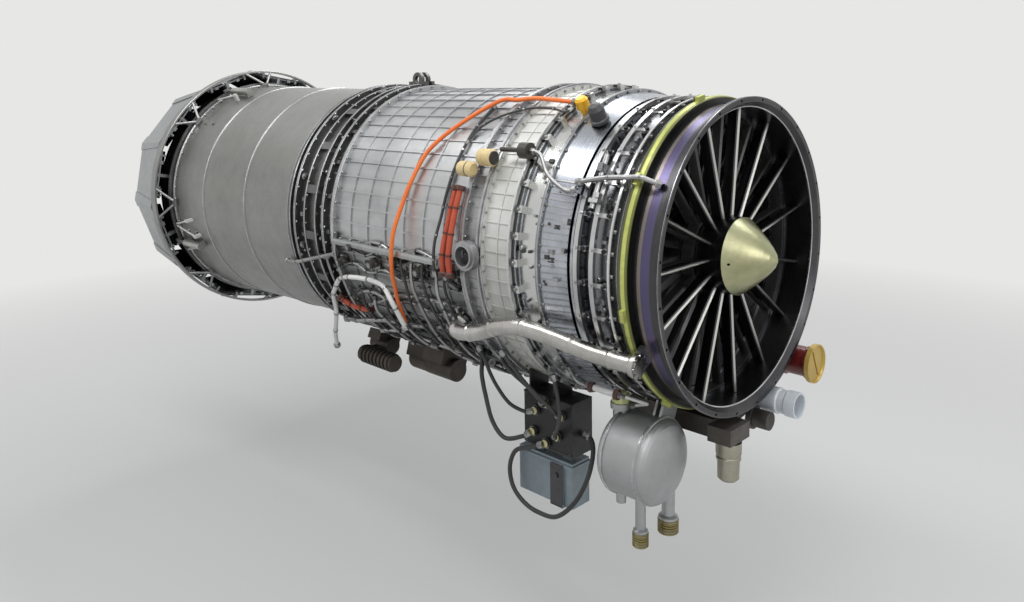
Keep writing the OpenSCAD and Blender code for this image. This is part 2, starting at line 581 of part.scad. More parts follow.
// Outer flap: plate, raised edge over the next flap, hinge bar and horn
function flap_half(s) = (flap_mid - s * sin(flap_slope)) * tan(flap_step / 2);
module flap_plate(z0, z1, z2, z3, y0, y1)
  translate([hinge_x, flap_mid, 0]) rotate([0, 0, flap_slope]) translate([0, y1, 0]) rotate([90, 0, 0])
    linear_extrude(y1 - y0) polygon([[-10, z0], [-10, z1], [-flap_l, z2], [-flap_l, z3]]);
module outer_flap(i) color("lightgray") rotate([flap_a0 + flap_step * i, 0, 0]) union() {
  h0 = flap_half(10);
  h1 = flap_half(flap_l);
  tail = h1 - 15.5;
  flap_plate(-h0 + 2, h0 - 2, tail, -tail, -flap_t, 0);
  flap_plate(h0 - 24, h0 + 1, h1 + 1, tail - 20, -0.2, 3.6);
  rotate([flap_step, 0, 0]) flap_plate(-h0 - 1, -h0 + 18, -h1 + 26, -h1 - 1, 1.2, 3.6);
  translate([hinge_x, hinge_y, -ear_z - 12]) cylinder(h = 2 * ear_z + 24, r = hinge_r);
  for (m = [-1, 1]) translate([0, 0, m * 50])
    box([hinge_x - 40, hinge_y - 7, -7], [hinge_x + 7, flap_mid - 8, 7]);
  box([hinge_x - 10, hinge_y - horn, -6], [hinge_x + 6, hinge_y + 5, 6]);
}

// A sector of a turned profile, between two angles
module sector(pts, a0, a1)
  rotate([a0 + 90, 0, 0]) rotate([0, 90, 0]) rotate_extrude(angle = a1 - a0)
    polygon([for (p = pts) [p[1], -p[0]]]);

// Gearbox: a curved casting under the fan case, on feet that meet the case's flanges
gb_r0 = duct_r - 4;
gb_r1 = gb_r0 + 44;
s_gb0 = 50;
s_gb1 = s_fan + 200;
module gearbox() color("dimgray") union() {
  sector([[s_gb0, gb_r0], [s_gb0, gb_r1 - 8], [s_gb0 + 8, gb_r1], [s_gb1 - 8, gb_r1], [s_gb1, gb_r1 - 8],
    [s_gb1, gb_r0]], -101, -42);
  sector([[s_gb0 + 112, gb_r0 + 4], [s_gb0 + 112, gb_r1 + 8], [s_gb0 + 124, gb_r1 + 8],
    [s_gb0 + 124, gb_r0 + 4]], -100, -43);
  box([-s_gb0 - 2, -95, -gb_r1 + 3], [10, -5, -gb_r0 - 1]);
  box([-s_gb0 - 2, -84, -gb_r1 - 2], [0, -16, -gb_r1 + 4]);
  for (a = [-95, -72, -49]) rotate([a, 0, 0]) {
    box([-s_fan - 41, flow_r + 24 + seat_gap, -14], [-s_fan - 35, gb_r0 + 3, 14]);
    box([-s_fan - 148, flow_r + 22 + seat_gap, -14], [-s_fan - 143, gb_r0 + 3, 14]);
  }
}

// Pumps on the front and rear faces of the gearbox
module pumps() color("gray") {
  axial(-4, s_gb0 - 10, 112, -gb_r1 + 4, 24);
  axial(s_gb0 - 12, s_gb0 - seat_gap, 112, -gb_r1 + 4, 31);
  for (a = [-86, -58]) {
    axial_at(s_gb1 + seat_gap, s_gb1 + 14, a, gb_r1 - 8, 30);
    axial_at(s_gb1 + 12, s_gb1 + 72, a, gb_r1 - 8, 25);
  }
}

// Filter bowl under the gearbox's front
module filter_bowl() color("tan") translate([-20, -50, -gb_r1 - 2 - seat_gap]) rotate([180, 0, 0])
  rotate_extrude($fn = 48) polygon([[0, 0], [bowl_r + 3, 0], [bowl_r + 3, 30], [bowl_r, 32], [bowl_r, 36],
    [bowl_r + 2, 38], [bowl_r + 2, 44], [bowl_r - 1, 46], [bowl_r - 2, 92], [bowl_r - 8, 98], [0, 98]]);

// Outlet tube on the gearbox's front face
module outlet_tube() color("white") translate([-s_gb0 + seat_gap, 170, -gb_r0 - 3]) rotate([0, 90, 0])
  rotate_extrude($fn = 64) polygon([[0, 0], [34, 0], [34, 50], [31, 54], [31, 70], [34, 74], [34, 102],
    [29, 102], [29, 46], [0, 46]]);

// Air port on the gearbox's front face
port_y = 300;
port_z = -331;
module air_port() color("darkred") translate([-s_gb0 + seat_gap, port_y, port_z]) rotate([0, 90, 0])
  rotate_extrude($fn = 64) polygon([[0, 0], [44, 0], [44, 8], [40, 10], [40, 60], [44, 64], [44, 74],
    [0, 74]]);

// Protective caps: a gold disc on the air port and a yellow cap on a fitting of the fan case
cap_s = s_fan + 253;
cap_a = 119;
module protective_caps() {
  color("goldenrod") translate([-s_gb0 + 74 + 2 * seat_gap, port_y, port_z]) rotate([0, 90, 0]) difference() {
    rotate_extrude($fn = 64) polygon([[0, 0], [52, 0], [52, 12], [48, 12], [46, 7], [0, 7]]);
    rotate([0, 0, 25]) box([-40, -4, 4], [40, 4, 8]);
  }
  color("orange") rotate([cap_a, 0, 0]) translate([-cap_s, duct_r - 10 + seat_gap, 0]) rotate([-90, 0, 0])
    rotate_extrude($fn = 48) polygon([[0, 0], [10, 0], [10, 14], [17, 18], [17, 40], [12, 46], [0, 46]]);
}

// Oil tank: a drum with domed ends, neck, outlets and feet on the fan case's flanges
tank_y = -225;
tank_z = -467;
tank_x0 = -200;
tank_dome = 32;
module tank_outlet(x, y, h, r0, r1) translate([x, y, tank_z - tank_r - h]) rotate_extrude($fn = 32)
  polygon([[0, 0], [r1, 0], [r1, 12], [r1 - 2, 14], [r1 - 2, 24], [r1, 26], [r1, 42], [r0, 46],
    [r0, h + 44], [0, h + 44]]);
module oil_tank() color("lightgray") {
  difference() {
    union() {
      translate([tank_x0, tank_y, tank_z]) rotate([0, 90, 0]) rotate_extrude() polygon(concat(
        [for (i = [0 : 9]) [tank_r * sin(10 * i), -tank_dome * cos(10 * i)]],
        [[tank_r + 3, 1], [tank_r + 3, 6], [tank_r, 8], [tank_r, tank_l - 8], [tank_r + 3, tank_l - 6],
          [tank_r + 3, tank_l - 1], [tank_r, tank_l]],
        [for (i = [1 : 9]) [tank_r * cos(10 * i), tank_l + tank_dome * sin(10 * i)]]));
      translate([filler_x, filler_y, tank_z + 40]) cylinder(h = filler_z - tank_z - 40, r = 19);
      translate([filler_x, filler_y, filler_z - 14]) cylinder(h = 14, r = 25);
      tank_outlet(-125, -150, 112, 16, 24);
      tank_outlet(-154, tank_y, 130, 12.5, 18);
      translate([-189, tank_y - 30, tank_z - tank_r - 18]) cylinder(h = 50, r = 12);
      rotate([-115.7, 0, 0]) {
        box([-s_fan - 41, flow_r + 24 + seat_gap, -30], [-s_fan - 35, 428, 30]);
        box([-s_fan - 24, flow_r + seat_gap, -30], [-s_fan - 17, 428, 30]);
      }
    }
    translate([filler_x, filler_y, filler_z - 30]) cylinder(h = 31, r = 12 + run_gap);
  }
}

// Filler cap with its stub in the tank's neck
filler_x = -206;
filler_y = -234;
filler_z = -346;
module filler_cap() color("palegoldenrod") union() {
  translate([filler_x, filler_y, filler_z - 22]) cylinder(h = 24, r = 12);
  translate([filler_x, filler_y, filler_z + seat_gap]) cylinder(h = 20, r = 22, $fn = 8);
  translate([filler_x, filler_y, filler_z + 18]) cylinder(h = 8, r = 14);
}

// Electronic control box on two plates that meet the front duct's flanges
ctl_x0 = -512;
ctl_x1 = -346;
ctl_y0 = -250;
ctl_y1 = -170;
ctl_z0 = -532;
ctl_z1 = -388;
plugs = [[-430, -404], [-466, -432], [-377, -425], [-475, -492], [-392, -483], [-430, -512]];
module control_box() color("black") union() {
  box([ctl_x0, ctl_y0, ctl_z0], [ctl_x1, ctl_y1, ctl_z1]);
  for (i = [0 : 5]) translate([ctl_x0 + 10 + 27 * i, 0, 0])
    box([0, ctl_y0 + 6, ctl_z0 - 4], [12, ctl_y1 - 6, ctl_z0 + 1]);
  for (s = [s_fduct + 8 + seat_gap, s_mid - 8 - seat_gap - 5]) difference() {
    box([-s - 5, ctl_y0 + 4, ctl_z1 - 2], [-s, ctl_y1 - 4, -330]);
    axial(s - 1, s + 6, 0, 0, duct_r);
  }
  for (p = plugs) translate([p[0], ctl_y0 - 12, p[1]]) rotate([-90, 0, 0]) cylinder(h = 13, r = 12, $fn = 32);
}

// Second control unit, hung below the first on two plates, with a strap round it
unit_x0 = -536;
unit_x1 = -350;
unit_z0 = -672;
unit_z1 = -550;
module control_unit() color("lightslategray") union() {
  box([unit_x0, ctl_y0 + 4, unit_z0], [unit_x1, ctl_y1 - 8, unit_z1]);
  box([unit_x0 - 3, ctl_y0, unit_z1 - 16], [unit_x1 + 3, ctl_y1 - 4, unit_z1 - 8]);
  for (x = [ctl_x0 + 20, ctl_x1 - 50])
    box([x, ctl_y0 + 20, unit_z1 - 3], [x + 30, ctl_y0 + 26, ctl_z0 - 4 - seat_gap]);
  box([-420, ctl_y0 - 3, unit_z0 - 3], [-378, ctl_y1 - 5, unit_z1 - 12]);
}

// Bleed duct along the lower near side, with an end flange, a clamp and a pad on the main duct
bleed_route = [at(72, -152, 410), at(120, -152.5, 413), at(190, -154, 420), at(268, -158, 434),
  at(357, -160, 443), at(440, -158, 446), at(511, -154, 447), at(566, -152, 450), at(606, -151, 449),
  at(624, -151, 442), at(628, -151, 426)];
module bleed_duct() color("silver") {
  tube(bleed_route, bleed_r, 3, 12);
  axial_at(62, 76, -152, 410, bleed_r + 7);
  rotate([-152, 0, 0]) box([-front_l + 12, flow_r + wall + 2 + seat_gap, -22], [-front_l + 28, 404, 22]);
  rotate([-151, 0, 0]) radial(628, duct_r + rib_h + seat_gap, duct_r + 21, bleed_r + 9);
}

// Igniter cans beside the front duct's aft end, with a round unit on a rod ahead of them
can_r = duct_r + 40;
module igniter_cans() {
  color("wheat") for (k = [[147, 534, 22], [151.5, 590, 20]]) rotate([k[0], 0, 0]) {
    translate([-k[1], can_r, 0]) rotate([0, 90, 0]) rotate_extrude($fn = 48)
      polygon([[0, 0], [k[2] - 5, 0], [k[2] - 1, 4], [k[2], 20], [k[2] - 2, 22], [k[2] - 2, 25], [k[2], 27],
        [k[2], 44], [k[2] - 6, 50], [0, 50]]);
    box([-k[1] + 14, duct_r + 14 + seat_gap, -12], [-k[1] + 26, can_r - 4, 12]);
  }
  color("black") rotate([143, 0, 0]) {
    axial(386, 414, duct_r + 31, 0, 20);
    axial(413, 485, duct_r + 31, 0, 6);
    box([-408, duct_r + 10 + seat_gap, -9], [-400.3, duct_r + 20, 9]);
  }
}

// Orange sheathed cable over the ducts
orange_route = [at(360.6, 119, 428), at(420, 118, 429), at(500, 117.5, 433), at(565, 118, 430),
  at(630, 119, 430), at(713, 132, 422), at(772, 144, 420), at(793, 156, 420), at(806, 168, 428),
  at(815, 177, 440), at(825, -175, 442), at(838, -168, 439), at(849, -163, 433), at(862, -157, 430.5),
  at(873, -150, 431), at(880, -143, 438)];
module orange_cable() color("coral") tube(orange_route, orange_r, 3, 8);

// White sheathed hose loop under the main duct
white_route = [[-1336, -285, -440], [-1318, -302, -392], [-1280, -324, -342], [-1228, -356, -280],
  at(1201, -149.6, 443), at(1182, -152.8, 436), at(1160, -156, 431), at(1136, -158.5, 427.2),
  at(1105, -159.8, 427.2), at(1040, -161, 427), at(972, -161.2, 425), at(920, -160, 426),
  at(884, -156.2, 440), at(864, -150.4, 449), at(858, -144.2, 455)];
module white_hose() color("white") tube(white_route, white_r, 2, 8);

// Two sleeved hoses on the near side and one below
sleeve_routes = [
  [at(602, 157, 428), at(606, 163, 426), at(610, 170, 426), at(612, 177, 435), at(612, -178, 442.2),
    at(612, -172, 443.1)],
  [at(580, 157, 433), at(583, 163, 432), at(586, 170, 433), at(588, 177, 438), at(588, -178, 442.2),
    at(588, -172, 443.1)],
  [at(1182, -149, 435.2), at(1160, -146.5, 436), at(1120, -144, 432), at(1070, -142, 419.2)],
  [[-180, -276, -312], [-200, -279, -311], [-221, -281, -310], [-242, -282, -309], [-262, -283, -309]]
];
sleeve_r = [10, 10, 9, 12];
module sleeved_hoses() color("indianred") {
  for (i = [0 : 3]) tube(sleeve_routes[i], sleeve_r[i], 2, 10);
}

// Bare pipes along and round the ducts
pipe_routes = [
  [at(650, 119, 415.5), at(648, 130, 415.5), at(646, 140, 415.5), at(646, 150, 415.5), at(647, 160, 415.5),
    at(648, 168, 418), at(650, 177, 433), at(652, -176, 438), at(652, -171, 438)],
  [at(40, 147, 372.6), at(56, 147, 385), at(78, 147, 402.7), at(104, 147.3, 402.7), at(160, 148, 403.5),
    at(205, 149.5, 406), at(238, 151, 408.3)],
  [at(385.4, 143, 437), at(352, 144, 434), at(316, 150, 424), at(262, 154, 411), at(234, 153.2, 407.3)],
  [at(600, -158, 424), at(660, -158, 416.1), at(740, -158, 416.1), at(820, -157, 416.1), at(900, -155, 416.1),
    at(980, -150, 416.1), at(1060, -146, 418)],
  [at(680, -148, 418.1), at(760, -144, 418.1), at(880, -140, 418.1), at(1000, -138, 420),
    at(1110, -136, 432), at(1180, -134, 440), at(1260, -132, 440)],
  [at(620, -128, 428), at(680, -125, 417.1), at(760, -123, 417.1), at(860, -122, 417.1), at(940, -125, 417.1),
    at(1020, -128, 420), at(1100, -129, 434)],
  [[-179.7, -229, -353], [-165, -225, -347], [-146, -222, -341], [-133, -230, -334], [-138, -246, -326],
    [-158, -262, -318], [-178.2, -275, -312]],
  [[-263, -283, -309], [-290, -288, -306], [-304, -290, -296], [-306, -300, -278], [-306, -314, -260]],
  [at(1120, -170, 428), at(1182, -168, 432.5), at(1270, -165, 432.8), at(1340, -162.5, 432.8),
    at(1372, -161.8, 432), at(1440, -160, 424)]
];
pipe_r = [4, 6, 5, 6, 8, 7, 4, 4, 6];
module pipes() color("lightgray") for (i = [0 : len(pipe_routes) - 1]) tube(pipe_routes[i], pipe_r[i], 2, 8);

// Wiring harness under the duct, from the control box down and back
harness_routes = [
  [[-430, -268.3, -512], [-470, -274, -530], [-524, -274, -556], [-548, -273, -610], [-538, -271, -664],
    [-500, -269, -696], [-450, -268, -706], [-388, -267, -696], [-330, -264, -640], [-300, -250, -575],
    [-296, -230, -515], [-314, -212, -484], [-339.6, -210, -476]],
  [[-475, -268.3, -492], [-498, -276, -508], [-545, -294, -520], [-578, -306, -480], [-590, -318, -410],
    [-600, -322, -350], [-614, -306, -312], [-640, -296, -297]],
  [[-430, -266.9, -404], [-424, -286, -384], [-440, -306, -352], [-484, -326, -314], [-518, -322, -294],
    [-535, -303.9, -278.5]]
];
module harness() color("black") for (r = harness_routes) tube(r, 6, 2, 8);

// Dome unit on the fan case, beside the yellow cap
module dome_unit() color("dimgray") rotate([123, 0, 0]) {
  translate([-(s_fan + 190), tip_r + 40.2, 0]) rotate([-90, 0, 0]) rotate_extrude($fn = 48)
    polygon([[0, 0], [24, 0], [24, 8], [20, 10], [20, 34], [14, 46], [0, 50]]);
}

// Rows of hexagonal bolt heads on the flanges: one solid each
module bolts(n, a0, s, r, h, rad) around(n, a0) translate([-s - h, r, 0]) rotate([0, 90, 0])
  cylinder(h = h, r = rad, $fn = 6);
module fasteners() color("silver") {
  bolts(36, 5, s_fan + 42 + seat_gap, tip_r + 23, 5, 4.5);
  bolts(40, 4, s_fan + 238 + seat_gap, tip_r + 46.6, 6, 3.4);
  bolts(40, 4, s_aft + 8 + seat_gap, duct_r + 8, 6, 4.5);
  bolts(40, 4, s_aft + 78 - seat_gap, duct_r + 11, 6, 4.5);
}

// Afterburner control units under the main duct and the aft ring
module burner_control() color("sienna") {
  for (k = [[880, 90, -112, 52, 34, 0], [1000, 96, -106, 56, 38, 0], [1182, 62, -114, 44, 26, 16]])
    rotate([k[2], 0, 0]) {
      box([-k[0] - k[1], duct_r + rib_h + k[5] + seat_gap, -k[3]], [-k[0], duct_r + rib_h + k[4] + 24, k[3]]);
      axial(k[0] - 18, k[0] + k[1] + 14, duct_r + k[4] + 34, 8, k[4]);
    }
  axial(1068, 1235, -250, -448, 26);
  for (i = [0 : 7]) axial(1080 + 19 * i, 1088 + 19 * i, -250, -448, 30);
  for (x = [-1226, -1200]) box([x, -240, -450], [x + 8, -195, -428]);
}

front_frame();
nose_cone();
fan_case();
stator_vanes();
sealing_band();
unison_ring_front();
unison_ring_rear();
vane_rod();
fan_blades();
fan_rotor();
lp_shaft();
core_rotor();
bearings();
mid_frame();
front_duct();
duct_upper();
duct_lower();
aft_ring();
core_case();
rear_frame();
exhaust_cone();
flame_holder();
burner_liner();
burner_casing();
shroud_ring();
inner_flaps();
nozzle_actuators();
sync_ring();
outer_flap(0);  // outer_flap_01
outer_flap(1);  // outer_flap_02
outer_flap(2);  // outer_flap_03
outer_flap(3);  // outer_flap_04
outer_flap(4);  // outer_flap_05
outer_flap(5);  // outer_flap_06
outer_flap(6);  // outer_flap_07
outer_flap(7);  // outer_flap_08
outer_flap(8);  // outer_flap_09
outer_flap(9);  // outer_flap_10
outer_flap(10);  // outer_flap_11
outer_flap(11);  // outer_flap_12
gearbox();
oil_tank();
filler_cap();
control_box();
control_unit();
pumps();
filter_bowl();
outlet_tube();
air_port();
protective_caps();
bleed_duct();
igniter_cans();
orange_cable();
white_hose();
sleeved_hoses();
pipes();
harness();
dome_unit();
fasteners();
burner_control();
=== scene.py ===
"""Looks of a low-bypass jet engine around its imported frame."""
import logging
import math
import random
from collections.abc import Callable, Iterator, Sequence
from dataclasses import dataclass
from enum import Enum

import bmesh
import bpy
from mathutils import Matrix, Vector


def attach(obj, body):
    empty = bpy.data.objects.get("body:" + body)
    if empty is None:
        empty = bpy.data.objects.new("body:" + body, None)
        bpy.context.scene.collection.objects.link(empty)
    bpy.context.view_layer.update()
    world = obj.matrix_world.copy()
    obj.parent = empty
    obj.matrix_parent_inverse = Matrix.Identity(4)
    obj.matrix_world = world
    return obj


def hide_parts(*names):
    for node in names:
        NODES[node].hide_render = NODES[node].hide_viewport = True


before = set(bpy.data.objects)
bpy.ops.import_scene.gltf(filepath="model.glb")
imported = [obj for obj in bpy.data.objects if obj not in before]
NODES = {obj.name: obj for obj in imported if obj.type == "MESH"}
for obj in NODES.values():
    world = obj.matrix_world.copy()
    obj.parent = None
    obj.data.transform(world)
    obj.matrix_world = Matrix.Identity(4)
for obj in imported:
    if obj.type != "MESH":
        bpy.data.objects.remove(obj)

LOG = logging.getLogger("engine")
MM = 0.001
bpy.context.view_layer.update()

# Where a chamfered head's radii lie along it
CHAMFER = (0, 0.8, 1)

Colour = tuple[float, float, float]
Rows = tuple[tuple[float, ...], ...]
Socket = bpy.types.NodeSocket


def at(station: float, angle: float, radius: float) -> Vector:
    """Gives the point at a station, an angle about the engine axis and a radius."""
    turn = math.radians(angle)
    return Vector((-station, radius * math.cos(turn), radius * math.sin(turn)))


class Edge(Enum):
    """How the faces of a piece meet in the shading."""

    CRISP = 32.0
    FLAT = 0.0


def circle(centre: Vector, u: Vector, v: Vector, radius: float, sides: int) -> list[Vector]:
    """Gives the points of a circle."""
    turns = (2 * math.pi * k / sides for k in range(sides))
    return [centre + radius * (math.cos(t) * u + math.sin(t) * v) for t in turns]


class Shape:
    """Collects the faces of one piece in millimetres and makes its object."""

    def __init__(self, name: str) -> None:
        """Starts an empty piece.

        Args:
            name: The piece's name in the scene.
        """
        self.name = name
        self.points: list[Vector] = []
        self.faces: list[tuple[int, ...]] = []
        self.slots: list[int] = []
        self.slot = 0

    def add(self, points: Sequence[Vector], faces: Sequence[tuple[int, ...]]) -> None:
        """Adds loose points and the faces between them.

        Args:
            points: New points in millimetres.
            faces: Faces that count from the first new point.
        """
        base = len(self.points)
        self.points += [Vector(p) for p in points]
        self.faces += [tuple(base + i for i in face) for face in faces]
        self.slots += [self.slot] * len(faces)

    def loft(self, rings: Sequence[Sequence[Vector]], closed: bool = False) -> None:
        """Joins rings of equal length by a skin.

        Args:
            rings: Rings of points, in order.
            closed: True joins the last ring to the first, otherwise both ends get caps.
        """
        count = len(rings[0])
        total = len(rings)
        faces = []
        for i in range(total if closed else total - 1):
            a, b = i * count, (i + 1) % total * count
            for j in range(count):
                k = (j + 1) % count
                faces.append((a + j, b + j, b + k, a + k))
        if not closed:
            faces.append(tuple(range(count)))
            faces.append(tuple((total - 1) * count + j for j in reversed(range(count))))
        self.add([p for ring in rings for p in ring], faces)

    def box(self, low: Sequence[float], high: Sequence[float], place: Matrix = Matrix()) -> None:
        """Adds a box between two corners, moved by a matrix in millimetres.

        Args:
            low: The lowest corner.
            high: The highest corner.
            place: Where the box goes.
        """
        corners = [Vector((x, y, z)) for x in (low[0], high[0]) for y in (low[1], high[1])
                   for z in (low[2], high[2])]
        faces = [(0, 1, 3, 2), (4, 6, 7, 5), (0, 4, 5, 1), (2, 3, 7, 6), (0, 2, 6, 4), (1, 5, 7, 3)]
        self.add([place @ c for c in corners], faces)

    def rod(self, start: Vector, end: Vector, radii: Sequence[float], sides: int = 10,
            steps: Sequence[float] | None = None) -> None:
        """Adds a straight turned piece between two points.

        Args:
            start: Centre of the first end.
            end: Centre of the last end.
            radii: Radii along the way.
            sides: Faces round the piece.
            steps: Place of each radius, from 0 to 1, evenly spaced if None.
        """
        axis = (Vector(end) - Vector(start)).normalized()
        u = axis.orthogonal().normalized()
        v = axis.cross(u)
        places = steps or [i / (len(radii) - 1) for i in range(len(radii))]
        rings = []
        for place, rad in zip(places, radii):
            rings.append(circle(Vector(start).lerp(Vector(end), place), u, v, rad, sides))
        self.loft(rings)

    def head(self, start: Vector, end: Vector, wide: float, narrow: float, sides: int = 6) -> None:
        """Adds a bolt head or nut with a chamfered end."""
        self.rod(start, end, (wide, wide, narrow), sides, CHAMFER)

    def sweep(self, route: Sequence[Vector], radius: float, sides: int = 14, steps: int = 8,
              swell: Callable[[float], float] | None = None) -> list[Vector]:
        """Adds a round tube along a smooth curve through the route's points.

        Args:
            route: Points in millimetres.
            radius: Radius of the tube.
            sides: Faces round the tube.
            steps: Stretches between two points of the route.
            swell: Share of the radius at each distance along the tube, 1 if None.

        Returns:
            The points of the curve.
        """
        line = curve(route, steps)
        u = None
        rings = []
        run = 0.0
        for i, point in enumerate(line):
            tangent = (line[min(i + 1, len(line) - 1)] - line[max(i - 1, 0)]).normalized()
            u = (tangent.orthogonal() if u is None else u - u.dot(tangent) * tangent).normalized()
            v = tangent.cross(u)
            if i:
                run += (point - line[i - 1]).length
            rings.append(circle(point, u, v, radius * (swell(run) if swell else 1.0), sides))
        self.loft(rings)
        return line

    def turned(self, profile: Sequence[tuple[float, float]], sides: int = 128, first: float = 0.0,
               last: float = 360.0) -> None:
        """Turns a closed profile round the engine axis.

        Args:
            profile: Stations and radii of the section, in order.
            sides: Steps of a whole turn.
            first: First angle in degrees.
            last: Last angle in degrees.
        """
        whole = last - first >= 360
        count = max(2, round(sides * (last - first) / 360))
        rings = [[at(s, first + (last - first) * i / count, r) for s, r in profile]
                 for i in range(count if whole else count + 1)]
        self.loft(rings, closed=whole)

    def build(self, materials: Sequence[bpy.types.Material], body: str, slot: str,
              edge: Edge = Edge.CRISP, replaces: Sequence[str] = ()) -> bpy.types.Object:
        """Makes the object, in metres, and lets it ride on its body.

        Args:
            materials: Materials in the order of the piece's slots.
            body: The body that carries it.
            slot: The record's material slot; not used.
            edge: How its faces meet in the shading.
            replaces: The frame's nodes that it stands for.

        Returns:
            The new object.
        """
        mesh = bpy.data.meshes.new(self.name)
        mesh.from_pydata([p * MM for p in self.points], [], self.faces)
        for index, polygon in enumerate(mesh.polygons):
            polygon.material_index = self.slots[index]
            polygon.use_smooth = edge is not Edge.FLAT
        for material in materials:
            mesh.materials.append(material)
        mesh.validate()
        skin = bmesh.new()
        skin.from_mesh(mesh)
        bmesh.ops.recalc_face_normals(skin, faces=skin.faces)
        skin.to_mesh(mesh)
        skin.free()
        if edge is not Edge.FLAT:
            mesh.set_sharp_from_angle(angle=math.radians(edge.value))
        piece = bpy.data.objects.new(self.name, mesh)
        bpy.context.scene.collection.objects.link(piece)
        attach(piece, body)
        if replaces:
            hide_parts(*replaces)
        LOG.info("%s: %d faces on %s", self.name, len(self.faces), body)
        return piece


def curve(route: Sequence[Vector], steps: int) -> list[Vector]:
    """Draws a Catmull-Rom curve through a route.

    Args:
        route: Points that the curve passes.
        steps: Stretches between two of them.

    Returns:
        The points of the curve.
    """
    pts = [Vector(p) for p in route]
    line = []
    for i in range(len(pts) - 1):
        a, b, c, d = pts[max(i - 1, 0)], pts[i], pts[i + 1], pts[min(i + 2, len(pts) - 1)]
        for j in range(steps):
            t = j / steps
            line.append(0.5 * (2 * b + (c - a) * t + (2 * a - 5 * b + 4 * c - d) * t * t
                               + (3 * b - a - 3 * c + d) * t * t * t))
    return line + [pts[-1]]


def about(angle: float) -> Matrix:
    """Gives a turn about the engine axis, in degrees."""
    return Matrix.Rotation(math.radians(angle), 4, "X")


def stand(station: float, angle: float, radius: float) -> Matrix:
    """Gives the place of a piece that stands on the engine: its Y points outwards and its X forward."""
    return about(angle) @ Matrix.Translation((-station, radius, 0))


class Graph:
    """Adds and joins shader nodes in one tree."""

    def __init__(self, tree: bpy.types.NodeTree) -> None:
        """Takes the tree to work in."""
        self.tree = tree

    def node(self, kind: str, **values: object) -> bpy.types.Node:
        """Adds a node and sets its properties.

        Args:
            kind: Blender's name of the node.
            values: Properties to set.

        Returns:
            The new node.
        """
        made = self.tree.nodes.new(kind)
        for key, value in values.items():
            setattr(made, key, value)
        return made

    def put(self, source: object, socket: Socket) -> None:
        """Sets a socket to a value, or joins it to another socket.

        Args:
            source: A value, a socket, or None to leave it alone.
            socket: The socket to set.
        """
        if isinstance(source, Socket):
            self.tree.links.new(source, socket)
        elif source is not None:
            socket.default_value = source

    def math(self, operation: str, a: object, b: object = None, clamp: bool = False) -> Socket:
        """Adds a Math node and gives its result.

        Args:
            operation: The node's operation.
            a: First value or socket.
            b: Second value or socket.
            clamp: Keeps the result between 0 and 1.

        Returns:
            The result's socket.
        """
        made = self.node("ShaderNodeMath", operation=operation, use_clamp=clamp)
        self.put(a, made.inputs[0])
        self.put(b, made.inputs[1])
        return made.outputs[0]

    def mix(self, share: object, a: object, b: object, blend: str = "MIX") -> Socket:
        """Mixes two colours and gives the result.

        Args:
            share: Share of the second colour.
            a: First colour.
            b: Second colour.
            blend: Blend mode.

        Returns:
            The colour's socket.
        """
        made = self.node("ShaderNodeMix", data_type="RGBA", blend_type=blend)
        self.put(share, made.inputs[0])
        self.put(rgba(a), made.inputs[6])
        self.put(rgba(b), made.inputs[7])
        return made.outputs[2]

    def noise(self, vector: object, scale: object, detail: float = 4.0, rough: float = 0.55) -> Socket:
        """Adds fractal noise and gives its value.

        Args:
            vector: Where the noise is read.
            scale: Its scale per metre.
            detail: Octaves.
            rough: Share of each finer octave.

        Returns:
            The value's socket.
        """
        made = self.node("ShaderNodeTexNoise")
        self.put(vector, made.inputs["Vector"])
        self.put(scale, made.inputs["Scale"])
        made.inputs["Detail"].default_value = detail
        made.inputs["Roughness"].default_value = rough
        return made.outputs["Fac"]

    def ramp(self, value: object, low: float, high: float) -> Socket:
        """Spreads a value between two limits over 0 to 1.

        Args:
            value: The value's socket.
            low: The value that gives 0.
            high: The value that gives 1.

        Returns:
            The result's socket.
        """
        made = self.node("ShaderNodeMapRange", clamp=True)
        self.put(value, made.inputs[0])
        made.inputs[1].default_value = low
        made.inputs[2].default_value = high
        return made.outputs[0]


def rgba(colour: object) -> object:
    """Adds a full alpha to a plain colour and leaves all else alone.

    Args:
        colour: A plain colour, or any other value or socket.

    Returns:
        The colour with its alpha, or the value as it came.
    """
    if isinstance(colour, (tuple, list)) and len(colour) == 3:
        return (*colour, 1.0)
    return colour


class Effect(Enum):
    """The shared node groups, each built once."""

    CLOUD = "Cloudy tint"
    # Dirt in patches, with painted shade on faces that look down
    DIRT_AND_SHADE = "Soil"
    GRAIN = "Fine grain"
    LATHE = "Turning marks"
    BAND = "Station band"
    RADIUS = "Radius band"
    STREAK = "Lengthwise streaks"


SOCKETS = {float: "NodeSocketFloat", tuple: "NodeSocketColor"}


